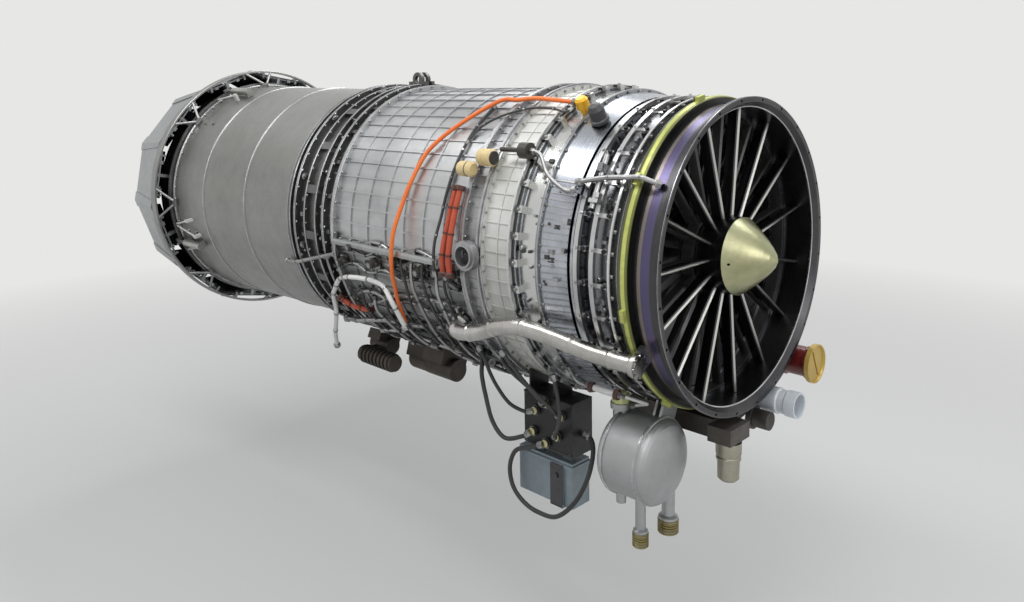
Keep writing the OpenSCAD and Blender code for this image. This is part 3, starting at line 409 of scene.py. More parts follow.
class Effects:
    """Builds the shared node groups and places them in materials."""

    def __init__(self) -> None:
        """Builds all the groups."""
        self.trees: dict[Effect, bpy.types.NodeTree] = {}
        builders = (self.cloud, self.dirt_and_shade, self.grain, self.lathe, self.band, self.radius_band, self.streak)
        for build in builders:
            build()

    def start(self, effect: Effect, inputs: dict[str, object], outputs: dict[str, object]) -> tuple:
        """Makes an empty group with named sockets.

        Args:
            effect: Which group.
            inputs: Names and default values of its inputs.
            outputs: Names and kinds of its outputs.

        Returns:
            The graph, the inputs' sockets by name and the output node.
        """
        tree = bpy.data.node_groups.new(effect.value, "ShaderNodeTree")
        for name, default in inputs.items():
            made = tree.interface.new_socket(name, in_out="INPUT", socket_type=SOCKETS[type(default)])
            made.default_value = rgba(default)
        for name, kind in outputs.items():
            tree.interface.new_socket(name, in_out="OUTPUT", socket_type=SOCKETS[kind])
        graph = Graph(tree)
        entry = graph.node("NodeGroupInput")
        self.trees[effect] = tree
        return graph, {s.name: s for s in entry.outputs}, graph.node("NodeGroupOutput")

    def place(self, graph: Graph, effect: Effect, **values: object) -> dict[str, Socket]:
        """Places a group in a material with its own values.

        Args:
            graph: The material's graph.
            effect: Which group.
            values: Values or sockets of its inputs, with _ for a space.

        Returns:
            The outputs' sockets by name.
        """
        made = graph.node("ShaderNodeGroup", node_tree=self.trees[effect])
        for name, value in values.items():
            graph.put(rgba(value), made.inputs[name.replace("_", " ")])
        return {s.name: s for s in made.outputs}

    @staticmethod
    def spot(graph: Graph) -> Socket:
        """Gives the piece's own coordinates, in metres."""
        return graph.node("ShaderNodeTexCoord").outputs["Object"]

    @staticmethod
    def parts(graph: Graph, vector: Socket) -> Sequence[Socket]:
        """Splits a vector into X, Y and Z.

        Args:
            graph: The graph to work in.
            vector: The vector's socket.

        Returns:
            The three sockets.
        """
        split = graph.node("ShaderNodeSeparateXYZ")
        graph.put(vector, split.inputs[0])
        return split.outputs

    @staticmethod
    def reach(graph: Graph, parts: Sequence[Socket]) -> Socket:
        """Gives the distance from the engine axis."""
        squares = [graph.math("POWER", part, 2.0) for part in parts[1:3]]
        return graph.math("SQRT", graph.math("ADD", *squares))

    def window(self, effect: Effect, measure: Callable[[Graph, Sequence[Socket]], Socket]) -> None:
        """Builds a mask that is 1 where a measure lies between Start and End, in metres.

        Args:
            effect: Which group.
            measure: Makes the measure from the graph and the sockets of X, Y and Z.
        """
        graph, inputs, out = self.start(effect, {"Start": 0.0, "End": 0.1}, {"Mask": float})
        value = measure(graph, self.parts(graph, self.spot(graph)))
        inside = graph.math("MULTIPLY", graph.math("GREATER_THAN", value, inputs["Start"]),
                            graph.math("LESS_THAN", value, inputs["End"]))
        graph.put(inside, out.inputs["Mask"])

    def cloud(self) -> None:
        """Builds a tint that drifts softly between two colours."""
        graph, inputs, out = self.start(
            Effect.CLOUD, {"First": (0.5, 0.5, 0.5), "Second": (0.4, 0.4, 0.4), "Scale": 6.0},
            {"Color": tuple, "Mask": float})
        octaves, low, high = 5.0, 0.36, 0.64
        value = graph.ramp(graph.noise(self.spot(graph), inputs["Scale"], octaves), low, high)
        graph.put(graph.mix(value, inputs["First"], inputs["Second"]), out.inputs["Color"])
        graph.put(value, out.inputs["Mask"])

    def dirt_and_shade(self) -> None:
        """Builds dirt in patches, plus painted shade that grows on faces the more they look down."""
        graph, inputs, out = self.start(
            Effect.DIRT_AND_SHADE, {"Color": (0.5, 0.5, 0.5), "Soil": (0.06, 0.05, 0.04), "Amount": 0.4, "Scale": 22.0},
            {"Color": tuple, "Mask": float})
        octaves, rough, low, high = 8.0, 0.65, 0.42, 0.72
        patch = graph.ramp(graph.noise(self.spot(graph), inputs["Scale"], octaves, rough), low, high)
        normal = graph.node("ShaderNodeNewGeometry").outputs["Normal"]
        # Faces that look down darken towards the dark colour: painted shade, added to the dirt patches.
        unshaded_above, full_shade_below = 0.5, -0.9
        underside_shade = graph.ramp(self.parts(graph, normal)[2], unshaded_above, full_shade_below)
        patch_share, underside_shade_share = 0.75, 0.45
        share = graph.math("ADD", graph.math("MULTIPLY", patch, patch_share),
                           graph.math("MULTIPLY", underside_shade, underside_shade_share))
        mask = graph.math("MULTIPLY", share, inputs["Amount"], clamp=True)
        graph.put(graph.mix(mask, inputs["Color"], inputs["Soil"]), out.inputs["Color"])
        graph.put(mask, out.inputs["Mask"])

    def grain(self) -> None:
        """Builds the fine unevenness of cast, blasted or painted skin."""
        graph, inputs, out = self.start(Effect.GRAIN, {"Scale": 900.0}, {"Height": float, "Mask": float})
        wide_scale, wide_share = 0.06, 2.0
        fine = graph.noise(self.spot(graph), inputs["Scale"], 3.0)
        wide = graph.noise(self.spot(graph), graph.math("MULTIPLY", inputs["Scale"], wide_scale), 4.0)
        graph.put(graph.math("ADD", fine, graph.math("MULTIPLY", wide, wide_share)), out.inputs["Height"])
        graph.put(graph.ramp(wide, 0.3, 0.7), out.inputs["Mask"])

    def lathe(self) -> None:
        """Builds rings about the engine axis, as turning leaves them."""
        graph, inputs, out = self.start(Effect.LATHE, {"Scale": 1.0}, {"Height": float, "Mask": float})
        rings_per_metre = 700.0
        parts = self.parts(graph, self.spot(graph))
        join = graph.node("ShaderNodeCombineXYZ")
        for source, socket in zip((parts[0], self.reach(graph, parts)), join.inputs):
            graph.put(graph.math("MULTIPLY", source, rings_per_metre), socket)
        value = graph.noise(join.outputs[0], inputs["Scale"], 3.0, 0.7)
        graph.put(value, out.inputs["Height"])
        graph.put(graph.ramp(value, 0.35, 0.65), out.inputs["Mask"])

    def band(self) -> None:
        """Builds a mask that is 1 between two stations in metres."""
        self.window(Effect.BAND, lambda graph, parts: graph.math("MULTIPLY", parts[0], -1.0))

    def radius_band(self) -> None:
        """Builds a mask that is 1 between two distances from the axis in metres."""
        self.window(Effect.RADIUS, self.reach)

    def streak(self) -> None:
        """Builds streaks that run along the engine, as wiping and airflow leave them."""
        graph, inputs, out = self.start(Effect.STREAK, {"Scale": 60.0}, {"Mask": float})
        stretch = graph.node("ShaderNodeMapping")
        graph.put(self.spot(graph), stretch.inputs["Vector"])
        stretch.inputs["Scale"].default_value = (0.08, 1.0, 1.0)
        value = graph.noise(stretch.outputs[0], inputs["Scale"], 5.0)
        graph.put(graph.ramp(value, 0.35, 0.68), out.inputs["Mask"])


@dataclass(frozen=True)
class Finish:
    """One surface: its colours, gloss, marks, dirt and painted shade on faces that look down."""

    name: str
    first: Colour
    second: Colour
    metallic: float = 1.0
    rough: float = 0.4
    spread: float = 0.12
    cloud: float = 6.0
    # Share and colour of the dirt patches and of the painted shade on faces that look down
    dirt_and_shade: float = 0.3
    dirt_and_shade_colour: Colour = (0.055, 0.048, 0.04)
    soil_scale: float = 22.0
    soil_rough: float = 0.35
    grain: float = 900.0
    bump: float = 0.1
    bump_depth: float = 0.001
    lathe: bool = False
    coat: float = 0.0
    coat_rough: float = 0.12

    def build(self, effects: Effects) -> bpy.types.Material:
        """Makes the material.

        Args:
            effects: The shared groups.

        Returns:
            The material.
        """
        material = bpy.data.materials.new(self.name)
        material.use_nodes = True
        material.diffuse_color = rgba(self.first)
        graph = Graph(material.node_tree)
        shader = material.node_tree.nodes["Principled BSDF"]
        shader.inputs["Metallic"].default_value = self.metallic
        if self.coat:
            shader.inputs["Coat Weight"].default_value = self.coat
            shader.inputs["Coat Roughness"].default_value = self.coat_rough
        tint = effects.place(graph, Effect.CLOUD, First=self.first, Second=self.second, Scale=self.cloud)
        # Dirt patches and painted shade on faces that look down, over the tint
        dirt_and_shade = effects.place(graph, Effect.DIRT_AND_SHADE, Color=tint["Color"], Soil=self.dirt_and_shade_colour, Amount=self.dirt_and_shade,
                             Scale=self.soil_scale)
        kind = Effect.LATHE if self.lathe else Effect.GRAIN
        marks = effects.place(graph, kind, Scale=1.0 if self.lathe else self.grain)
        shade = graph.math("MULTIPLY_ADD", marks["Mask"], self.spread)
        shade.node.inputs[2].default_value = self.rough - self.spread / 2
        gloss = graph.math("MULTIPLY_ADD", dirt_and_shade["Mask"], self.soil_rough)
        graph.put(shade, gloss.node.inputs[2])
        graph.put(gloss, shader.inputs["Roughness"])
        bump = graph.node("ShaderNodeBump")
        bump.inputs["Strength"].default_value = self.bump
        bump.inputs["Distance"].default_value = self.bump_depth
        graph.put(marks["Height"], bump.inputs["Height"])
        graph.put(bump.outputs[0], shader.inputs["Normal"])
        graph.put(self.paint(graph, effects, dirt_and_shade["Color"]), shader.inputs["Base Color"])
        return material

    def paint(self, graph: Graph, effects: Effects, colour: Socket) -> Socket:
        """Changes the surface's colour; a plain finish leaves it alone."""
        return colour


@dataclass(frozen=True)
class Zone:
    """A stretch of a banded surface with its own colour, in millimetres."""

    start: float
    end: float
    colour: Colour
    share: float = 1.0
    inner: float = 0.0
    outer: float = 1000.0


@dataclass(frozen=True)
class BandedFinish(Finish):
    """A surface whose colour changes in zones along the engine."""

    zones: tuple[Zone, ...] = ()

    def paint(self, graph: Graph, effects: Effects, colour: Socket) -> Socket:
        """Lays the zones over the colour.

        Args:
            graph: The material's graph.
            effects: The shared groups.
            colour: The colour's socket.

        Returns:
            The changed colour's socket.
        """
        for zone in self.zones:
            mask = effects.place(graph, Effect.BAND, Start=zone.start * MM, End=zone.end * MM)["Mask"]
            if zone.inner > 0 or zone.outer < Zone.outer:
                reach = effects.place(graph, Effect.RADIUS, Start=zone.inner * MM, End=zone.outer * MM)
                mask = graph.math("MULTIPLY", mask, reach["Mask"])
            colour = graph.mix(graph.math("MULTIPLY", mask, zone.share), colour, zone.colour)
        return colour


@dataclass(frozen=True)
class StreakedFinish(Finish):
    """A surface with pale or dark streaks along the engine."""

    streak: Colour = (0.2, 0.2, 0.2)
    share: float = 0.5
    scale: float = 60.0

    def paint(self, graph: Graph, effects: Effects, colour: Socket) -> Socket:
        """Lays the streaks over the colour."""
        mask = effects.place(graph, Effect.STREAK, Scale=self.scale)["Mask"]
        return graph.mix(graph.math("MULTIPLY", mask, self.share), colour, self.streak)


STEEL = Finish("drawn steel tube", (0.42, 0.42, 0.42), (0.30, 0.30, 0.30), rough=0.30, dirt_and_shade=0.3)
BRIGHT = Finish("machined bright", (0.62, 0.62, 0.62), (0.48, 0.48, 0.49), rough=0.26, dirt_and_shade=0.18,
                lathe=True)
DARK = Finish("dark steel", (0.10, 0.10, 0.105), (0.06, 0.06, 0.062), rough=0.42, dirt_and_shade=0.35)
BLACK_OXIDE = Finish("black oxide", (0.03, 0.03, 0.032), (0.05, 0.05, 0.05), rough=0.4, dirt_and_shade=0.1)
BOLT = Finish("bolt steel", (0.45, 0.45, 0.45), (0.20, 0.20, 0.20), rough=0.32, cloud=60.0, dirt_and_shade=0.35)
ORANGE = Finish("orange sheath", (0.86, 0.20, 0.035), (0.74, 0.14, 0.02), metallic=0.0, rough=0.42,
                dirt_and_shade=0.12, grain=1600.0, bump=0.12)
RED_SLEEVE = Finish("red sleeve", (0.52, 0.085, 0.035), (0.40, 0.05, 0.02), metallic=0.0, rough=0.5,
                    dirt_and_shade=0.25, grain=1500.0, bump=0.35)
WHITE_SLEEVE = Finish("white sleeve", (0.80, 0.80, 0.78), (0.68, 0.68, 0.66), metallic=0.0, rough=0.55,
                      dirt_and_shade=0.2, grain=1800.0, bump=0.3)
BLACK_BRAID = Finish("black braid", (0.022, 0.022, 0.024), (0.045, 0.045, 0.045), metallic=0.0, rough=0.5,
                     dirt_and_shade=0.1, grain=1400.0, bump=0.4)
RIM = Finish("machined rim", (0.62, 0.63, 0.64), (0.40, 0.41, 0.42), rough=0.24, cloud=18.0, dirt_and_shade=0.25)
PALE_CAST = Finish("pale casting", (0.46, 0.47, 0.49), (0.34, 0.35, 0.36), rough=0.36, cloud=12.0, dirt_and_shade=0.3)
WHITE_METAL = Finish("white metal", (0.72, 0.72, 0.70), (0.60, 0.60, 0.58), metallic=0.3, rough=0.4,
                     dirt_and_shade=0.15)
PLUG_YELLOW = Finish("pale yellow plug", (0.80, 0.74, 0.40), (0.70, 0.64, 0.34), metallic=0.0, rough=0.45,
                     dirt_and_shade=0.1)
BRASS = Finish("olive brass", (0.34, 0.29, 0.12), (0.24, 0.20, 0.09), rough=0.4, cloud=24.0, dirt_and_shade=0.3)
DARK_TUBE = Finish("dark tube", (0.16, 0.16, 0.165), (0.10, 0.10, 0.10), rough=0.34, cloud=16.0, dirt_and_shade=0.3)
BROWN_BAND = Finish("brown band", (0.10, 0.03, 0.02), (0.05, 0.02, 0.015), metallic=0.0, rough=0.5,
                    dirt_and_shade=0.2)

FINISHES = {
    # The zone from station 49 to 54 on the struts is a painted highlight along their noses; the dark base
    # colour is partly the frame's own tone and partly painted shade on the struts' sides.
    "front_frame": BandedFinish(
        "heat-tinted inlet frame", (0.085, 0.085, 0.09), (0.05, 0.05, 0.055), rough=0.30, dirt_and_shade=0.2,
        lathe=True, zones=(Zone(34, 57, (0.115, 0.10, 0.19), 0.85, 362),
        Zone(57, 66, (0.26, 0.22, 0.20), 0.8, 362), Zone(66, 80, (0.05, 0.05, 0.05), 0.8, 362),
        Zone(49, 54, (0.60, 0.60, 0.57), 0.9, 96, 359))),
    "nose_cone": StreakedFinish(
        "green-gold nose cone", (0.40, 0.42, 0.26), (0.33, 0.33, 0.19), metallic=1.0, rough=0.31, dirt_and_shade=0.08,
        cloud=9.0, streak=(0.52, 0.49, 0.31), share=0.5, scale=30.0),
    "fan_case": BandedFinish(
        "mirror fan case", (0.50, 0.53, 0.58), (0.36, 0.38, 0.42), rough=0.22, dirt_and_shade=0.28, soil_scale=30.0,
        lathe=True, zones=(Zone(90, 123, (0.10, 0.10, 0.10), 0.85), Zone(123, 133, (0.66, 0.66, 0.64), 0.9),
        Zone(133, 230, (0.16, 0.16, 0.165), 0.85), Zone(318, 329, (0.30, 0.30, 0.30), 0.7),
        Zone(330, 384, (0.64, 0.64, 0.62), 0.85), Zone(384.5, 401, (0.07, 0.07, 0.07), 0.9))),
    "stator_vanes": Finish("stator steel", (0.25, 0.25, 0.25), (0.16, 0.16, 0.16), rough=0.4, dirt_and_shade=0.4),
    # The base lime shows only between stations 85 and 95, as a painted highlight; ahead of it a zone gives
    # the band's olive tone, and behind it a zone darkens it nearly to black.
    "sealing_band": BandedFinish(
        "yellow-green band", (0.56, 0.60, 0.16), (0.42, 0.46, 0.10), metallic=0.3, rough=0.34, dirt_and_shade=0.35,
        soil_scale=55.0, zones=(Zone(75, 85, (0.11, 0.12, 0.035), 0.9),
        Zone(95, 108, (0.05, 0.055, 0.03), 0.9))),
    "unison_ring_front": BRIGHT,
    "unison_ring_rear": BRIGHT,
    "vane_rod": BRIGHT,
    "fan_blades": Finish("blade titanium", (0.17, 0.17, 0.18), (0.10, 0.10, 0.105), rough=0.36, dirt_and_shade=0.3),
    "fan_rotor": Finish("rotor steel", (0.14, 0.14, 0.145), (0.09, 0.09, 0.09), rough=0.42, dirt_and_shade=0.3),
    "lp_shaft": Finish(
        "ground shaft", (0.45, 0.45, 0.46), (0.38, 0.38, 0.38), rough=0.25, dirt_and_shade=0.1, lathe=True),
    "core_rotor": Finish("core rotor steel", (0.34, 0.34, 0.35), (0.24, 0.24, 0.24), rough=0.35, lathe=True),
    "bearings": Finish(
        "bearing steel", (0.62, 0.62, 0.63), (0.52, 0.52, 0.52), rough=0.2, dirt_and_shade=0.1, lathe=True),
    "mid_frame": Finish("cast aluminium", (0.50, 0.50, 0.51), (0.36, 0.36, 0.37), rough=0.42, dirt_and_shade=0.4),
    "front_duct": Finish(
        "off-white duct", (0.66, 0.66, 0.63), (0.56, 0.56, 0.53), metallic=0.15, rough=0.42, dirt_and_shade=0.22,
        soil_scale=16.0),
    "duct_upper": StreakedFinish(
        "silver duct", (0.50, 0.51, 0.52), (0.40, 0.41, 0.42), rough=0.36, dirt_and_shade=0.22, cloud=4.0,
        streak=(0.62, 0.62, 0.62), share=0.35, scale=40.0),
    # A darker copy of the upper duct's silver, with more dirt and painted shade: its darkness is painted
    # shade on the engine's underside.
    "duct_lower": StreakedFinish(
        "silver lower duct in painted shade", (0.40, 0.41, 0.41), (0.30, 0.31, 0.31), rough=0.38, dirt_and_shade=0.4, cloud=4.0,
        streak=(0.5, 0.5, 0.5), share=0.3, scale=40.0),
    "aft_ring": Finish(
        "aft ring steel", (0.22, 0.22, 0.22), (0.13, 0.13, 0.13), rough=0.36, dirt_and_shade=0.45, soil_scale=40.0,
        lathe=True),
    "core_case": Finish("browned core case", (0.30, 0.26, 0.21), (0.21, 0.17, 0.13), rough=0.42),
    "rear_frame": Finish("browned rear frame", (0.25, 0.20, 0.16), (0.17, 0.13, 0.10), rough=0.45),
    "exhaust_cone": Finish("browned cone", (0.24, 0.19, 0.15), (0.16, 0.12, 0.09), rough=0.45),
    "flame_holder": Finish("scaled flame holder", (0.18, 0.13, 0.10), (0.11, 0.08, 0.06), rough=0.6),
    "burner_liner": Finish("liner", (0.30, 0.27, 0.24), (0.20, 0.17, 0.15), rough=0.5, dirt_and_shade=0.5),
    "burner_casing": StreakedFinish(
        "afterburner casing", (0.33, 0.33, 0.33), (0.27, 0.27, 0.262), rough=0.40, spread=0.16, dirt_and_shade=0.2,
        dirt_and_shade_colour=(0.06, 0.06, 0.04), cloud=2.6, streak=(0.30, 0.295, 0.27), share=0.3, scale=14.0,
        lathe=True),
    "shroud_ring": Finish("shroud ring steel", (0.36, 0.36, 0.36), (0.28, 0.28, 0.28), rough=0.4, dirt_and_shade=0.2),
    "inner_flaps": Finish(
        "purple-black flaps", (0.045, 0.035, 0.045), (0.03, 0.026, 0.03), rough=0.5, dirt_and_shade=0.2),
    "nozzle_actuators": Finish("actuator steel", (0.50, 0.50, 0.48), (0.40, 0.40, 0.38), rough=0.35),
    "sync_ring": Finish("ring steel", (0.34, 0.34, 0.34), (0.22, 0.22, 0.22), rough=0.4, dirt_and_shade=0.4),
    "outer_flap": Finish(
        "pale flap", (0.40, 0.41, 0.42), (0.33, 0.34, 0.35), rough=0.42, dirt_and_shade=0.12, cloud=3.0),
    "gearbox": Finish(
        "dark casting", (0.12, 0.11, 0.10), (0.07, 0.062, 0.055), metallic=0.7, rough=0.5, dirt_and_shade=0.5,
        bump=0.3, grain=500.0),
    "oil_tank": StreakedFinish(
        "satin tank", (0.42, 0.43, 0.44), (0.36, 0.37, 0.37), metallic=0.85, rough=0.42, dirt_and_shade=0.10,
        cloud=7.0, streak=(0.36, 0.37, 0.36), share=0.3, scale=20.0),
    "filler_cap": Finish(
        "pale yellow-green cap", (0.66, 0.70, 0.33), (0.56, 0.58, 0.26), metallic=0.1, rough=0.4, dirt_and_shade=0.1),
    "control_box": Finish(
        "black box", (0.012, 0.012, 0.014), (0.02, 0.02, 0.02), metallic=0.2, rough=0.38, dirt_and_shade=0.1),
    "control_unit": Finish(
        "blue-grey unit", (0.24, 0.29, 0.32), (0.19, 0.23, 0.26), metallic=0.5, rough=0.4, dirt_and_shade=0.2),
    "pumps": Finish(
        "pump casting", (0.11, 0.105, 0.10), (0.07, 0.065, 0.06), metallic=0.7, rough=0.5, dirt_and_shade=0.5,
        bump=0.3, grain=500.0),
    "filter_bowl": Finish("filter bowl", (0.42, 0.40, 0.33), (0.34, 0.32, 0.26), rough=0.4, dirt_and_shade=0.2),
    "outlet_tube": Finish(
        "translucent white tube", (0.72, 0.76, 0.80), (0.64, 0.68, 0.72), metallic=0.0, rough=0.3,
        dirt_and_shade=0.05, coat=0.3),
    "air_port": Finish(
        "dark red paint", (0.16, 0.012, 0.012), (0.11, 0.01, 0.01), metallic=0.1, rough=0.3, dirt_and_shade=0.1,
        coat=0.4),
    "protective_caps": BandedFinish(
        "gold cap", (0.60, 0.42, 0.10), (0.50, 0.34, 0.08), metallic=0.3, rough=0.35, dirt_and_shade=0.08,
        zones=(Zone(300, 380, (0.86, 0.46, 0.02), 0.9),)),
    "bleed_duct": Finish(
        "bright bleed duct", (0.56, 0.55, 0.53), (0.42, 0.41, 0.38), rough=0.24, dirt_and_shade=0.28, soil_scale=26.0),
    "igniter_cans": BandedFinish(
        "cream can", (0.72, 0.58, 0.30), (0.64, 0.50, 0.25), metallic=0.05, rough=0.42, dirt_and_shade=0.12,
        zones=(Zone(380, 486, (0.018, 0.018, 0.02), 0.97), Zone(555, 560, (0.10, 0.09, 0.08), 0.9),
        Zone(611, 616, (0.10, 0.09, 0.08), 0.9))),
    "orange_cable": ORANGE,
    "white_hose": WHITE_SLEEVE,
    "sleeved_hoses": RED_SLEEVE,
    "pipes": STEEL,
    "harness": BLACK_BRAID,
    "dome_unit": Finish(
        "grey-black dome", (0.09, 0.09, 0.095), (0.06, 0.06, 0.06), metallic=0.3, rough=0.4, dirt_and_shade=0.2),
    "fasteners": BOLT,
    "burner_control": Finish(
        "dark control casting", (0.085, 0.075, 0.065), (0.05, 0.042, 0.035), metallic=0.7, rough=0.5,
        dirt_and_shade=0.4, bump=0.3, grain=500.0),
}


class Wardrobe:
    """Makes each finish once and dresses the frame's nodes."""

    def __init__(self) -> None:
        """Builds the shared groups."""
        self.effects = Effects()
        self.made: dict[str, bpy.types.Material] = {}

    def get(self, finish: Finish) -> bpy.types.Material:
        """Gives a finish's material, made the first time it is asked for.

        Args:
            finish: The finish.

        Returns:
            Its material.
        """
        if finish.name not in self.made:
            self.made[finish.name] = finish.build(self.effects)
        return self.made[finish.name]

    def dress_frame(self) -> None:
        """Gives every node of the frame the finish of its kind."""
        for name, node in NODES.items():
            kind = "outer_flap" if name.startswith("outer_flap") else name
            node.data.materials.clear()
            node.data.materials.append(self.get(FINISHES[kind]))
        LOG.info("dressed %d nodes", len(NODES))


class Face(Enum):
    """Which way the heads of a row of bolts face."""

    FORWARD = 1.0
    AFT = -1.0
    OUT = 0.0


@dataclass(frozen=True)
class Row:
    """A row of like bolts round the engine."""

    station: float
    radius: float
    count: int
    face: Face = Face.FORWARD
    size: float = 4.6
    height: float = 5.0
    first: float = 0.0

    def add_to(self, shape: Shape) -> None:
        """Adds the row's heads, each a chamfered hexagon.

        Args:
            shape: The piece that takes them.
        """
        for i in range(self.count):
            angle = self.first + 360 * i / self.count
            base = at(self.station, angle, self.radius)
            axis = at(0, angle, 1) if self.face is Face.OUT else Vector((self.face.value, 0, 0))
            shape.head(base - axis, base + axis * self.height, self.size, self.size * 0.7)


@dataclass(frozen=True)
class Rim:
    """A bright machined edge of a flange, between two stations."""

    start: float
    end: float
    radius: float
    proud: float = 0.7
    sunk: float = 1.5
    slope: float = 0.4
    sides: int = 180

    def add_to(self, shape: Shape) -> None:
        """Adds the rim as a thin hoop.

        Args:
            shape: The piece that takes it.
        """
        low, high = self.radius - self.sunk, self.radius + self.proud
        shape.turned([(self.start - self.slope, low), (self.start + self.slope, high),
                      (self.end - self.slope, high), (self.end + self.slope, low)], self.sides)


@dataclass
class Piece:
    """One piece ready to be made."""

    shape: Shape
    finishes: tuple[Finish, ...]
    kind: str
    body: str = "engine"
    edge: Edge = Edge.CRISP
    replaces: tuple[str, ...] = ()


class Trim:
    """A sub-assembly of pieces that dress the solids."""

    def pieces(self) -> Iterator[Piece]:
        """Gives its pieces in order."""
        raise NotImplementedError

    def build(self, wardrobe: Wardrobe) -> None:
        """Makes every piece in its finishes.

        Args:
            wardrobe: The finishes.
        """
        for piece in self.pieces():
            materials = [wardrobe.get(finish) for finish in piece.finishes]
            piece.shape.build(materials, piece.body, piece.kind, piece.edge, piece.replaces)


def gather(name: str, items: Sequence[Row | Rim], finish: Finish, kind: str, body: str = "engine") -> Piece:
    """Makes one piece of rows of bolts or of rims.

    Args:
        name: The piece's name.
        items: What it holds.
        finish: Its finish.
        kind: The record's material slot.
        body: The body that carries it.

    Returns:
        The piece.
    """
    shape = Shape(name)
    for item in items:
        item.add_to(shape)
    return Piece(shape, (finish,), kind, body)


@dataclass
class FrontTrim(Trim):
    """Rims, bolts, lever nuts and stiffening strips of the inlet and the fan case."""

    rims: tuple[Rim, ...] = (
        Rim(0.3, 2.0, 383.6, 0.6), Rim(124, 127, 384), Rim(232, 234.5, 382), Rim(320, 323, 404),
        Rim(326, 328, 404), Rim(386, 388.5, 408), Rim(400, 403, 416))
    lip_edge: Rows = ((12.6, 361.6), (14.0, 359.2), (16.6, 359.2), (16.6, 361.2))
    rows: tuple[Row, ...] = (
        Row(124, 377, 48), Row(232, 374, 60, size=3.6), Row(320, 397, 52),
        Row(385, 415, 40, Face.OUT, 4.2, 4.0), Row(408, 409, 70, Face.AFT, 3.6, 4.0))
    strip_ends: Rows = ((248, 384.2), (314, 395.2))
    strip_angles: tuple[float, float, float] = (150, 262, 2.3)
    strip_half: float = 0.22
    strip_height: float = 2.4
    lever_stations: tuple[float, float] = (146, 206)
    lever_nut: tuple[float, float] = (5.2, 6.5)
    lever_radius: float = 378.3
    lever_count: int = 30
    lever_first: float = 4.0

    def pieces(self) -> Iterator[Piece]:
        """Gives its pieces in order.

        Yields:
            Rims, bolts, strips and the lever nuts of both rings.
        """
        rims = gather("front_rims", self.rims, RIM, "fan_case")
        rims.shape.turned(self.lip_edge, Rim.sides)
        yield rims
        yield gather("front_bolts", self.rows, BOLT, "fasteners")
        yield Piece(self.strips(), (PALE_CAST,), "fan_case")
        for end, station in zip(("front", "rear"), self.lever_stations):
            nuts = Row(
                station, self.lever_radius, self.lever_count, Face.OUT, *self.lever_nut, self.lever_first)
            yield gather(f"{end}_lever_nuts", [nuts], BLACK_OXIDE, "unison_ring_front", f"{end}_ring")

    def strips(self) -> Shape:
        """Makes the thin strips that stiffen the lower half of the fan case.

        Returns:
            Their shape.
        """
        shape = Shape("fan_case_strips")
        first, last, step = self.strip_angles
        for i in range(int((last - first) / step)):
            angle = first + i * step
            low, high = angle - self.strip_half, angle + self.strip_half
            shape.loft([[at(station, low, base - 1), at(station, low, base + self.strip_height),
                         at(station, high, base + self.strip_height), at(station, high, base - 1)]
                        for station, base in self.strip_ends])
        return shape


@dataclass
class CaseFittings(Trim):
    """Small lugs and studs that crowd the skin of the fan case and the ducts' lower side."""

    fields: Rows = (
        (134, 140, 60, 262, 360, 34), (158, 196, 60, 262, 360, 60), (220, 229, 60, 262, 360, 40),
        (248, 312, 150, 262, 388, 22), (334, 378, 140, 262, 396, 16), (575, 1125, 184, 262, 406, 90),
        (1150, 1174, 40, 262, 406, 44), (1190, 1220, 40, 262, 406, 36), (1298, 1332, 40, 262, 406, 40),
        (575, 1125, 262, 330, 406, 40))
    most_high: float = 11.0
    stud_size: tuple[float, float] = (3.2, 6.0)
    lug_long: tuple[float, float] = (3, 9)
    lug_wide: tuple[float, float] = (3, 8)
    seed: int = 5

    def pieces(self) -> Iterator[Piece]:
        """Gives the fittings as one piece.

        Yields:
            The piece.
        """
        draw = random.Random(self.seed)
        shape = Shape("case_fittings")
        for s0, s1, a0, a1, skin, count in self.fields:
            for _ in range(count):
                station, angle = draw.uniform(s0, s1), draw.uniform(a0, a1)
                high = draw.uniform(0.5, 1.0) * self.most_high
                shape.slot = draw.randrange(3)
                foot, out = at(station, angle, skin - 1), at(0, angle, 1)
                if draw.random() < 0.5:
                    size = draw.uniform(*self.stud_size)
                    shape.head(foot, foot + (high + 1) * out, size, size * 0.7, draw.choice((6, 12)))
                else:
                    half_x, half_z = draw.uniform(*self.lug_long), draw.uniform(*self.lug_wide)
                    place = stand(station, angle, skin)
                    shape.box((-half_x, -1, -half_z), (half_x, high * 0.7, half_z), place)
        yield Piece(shape, (BOLT, DARK, PALE_CAST), "fasteners")


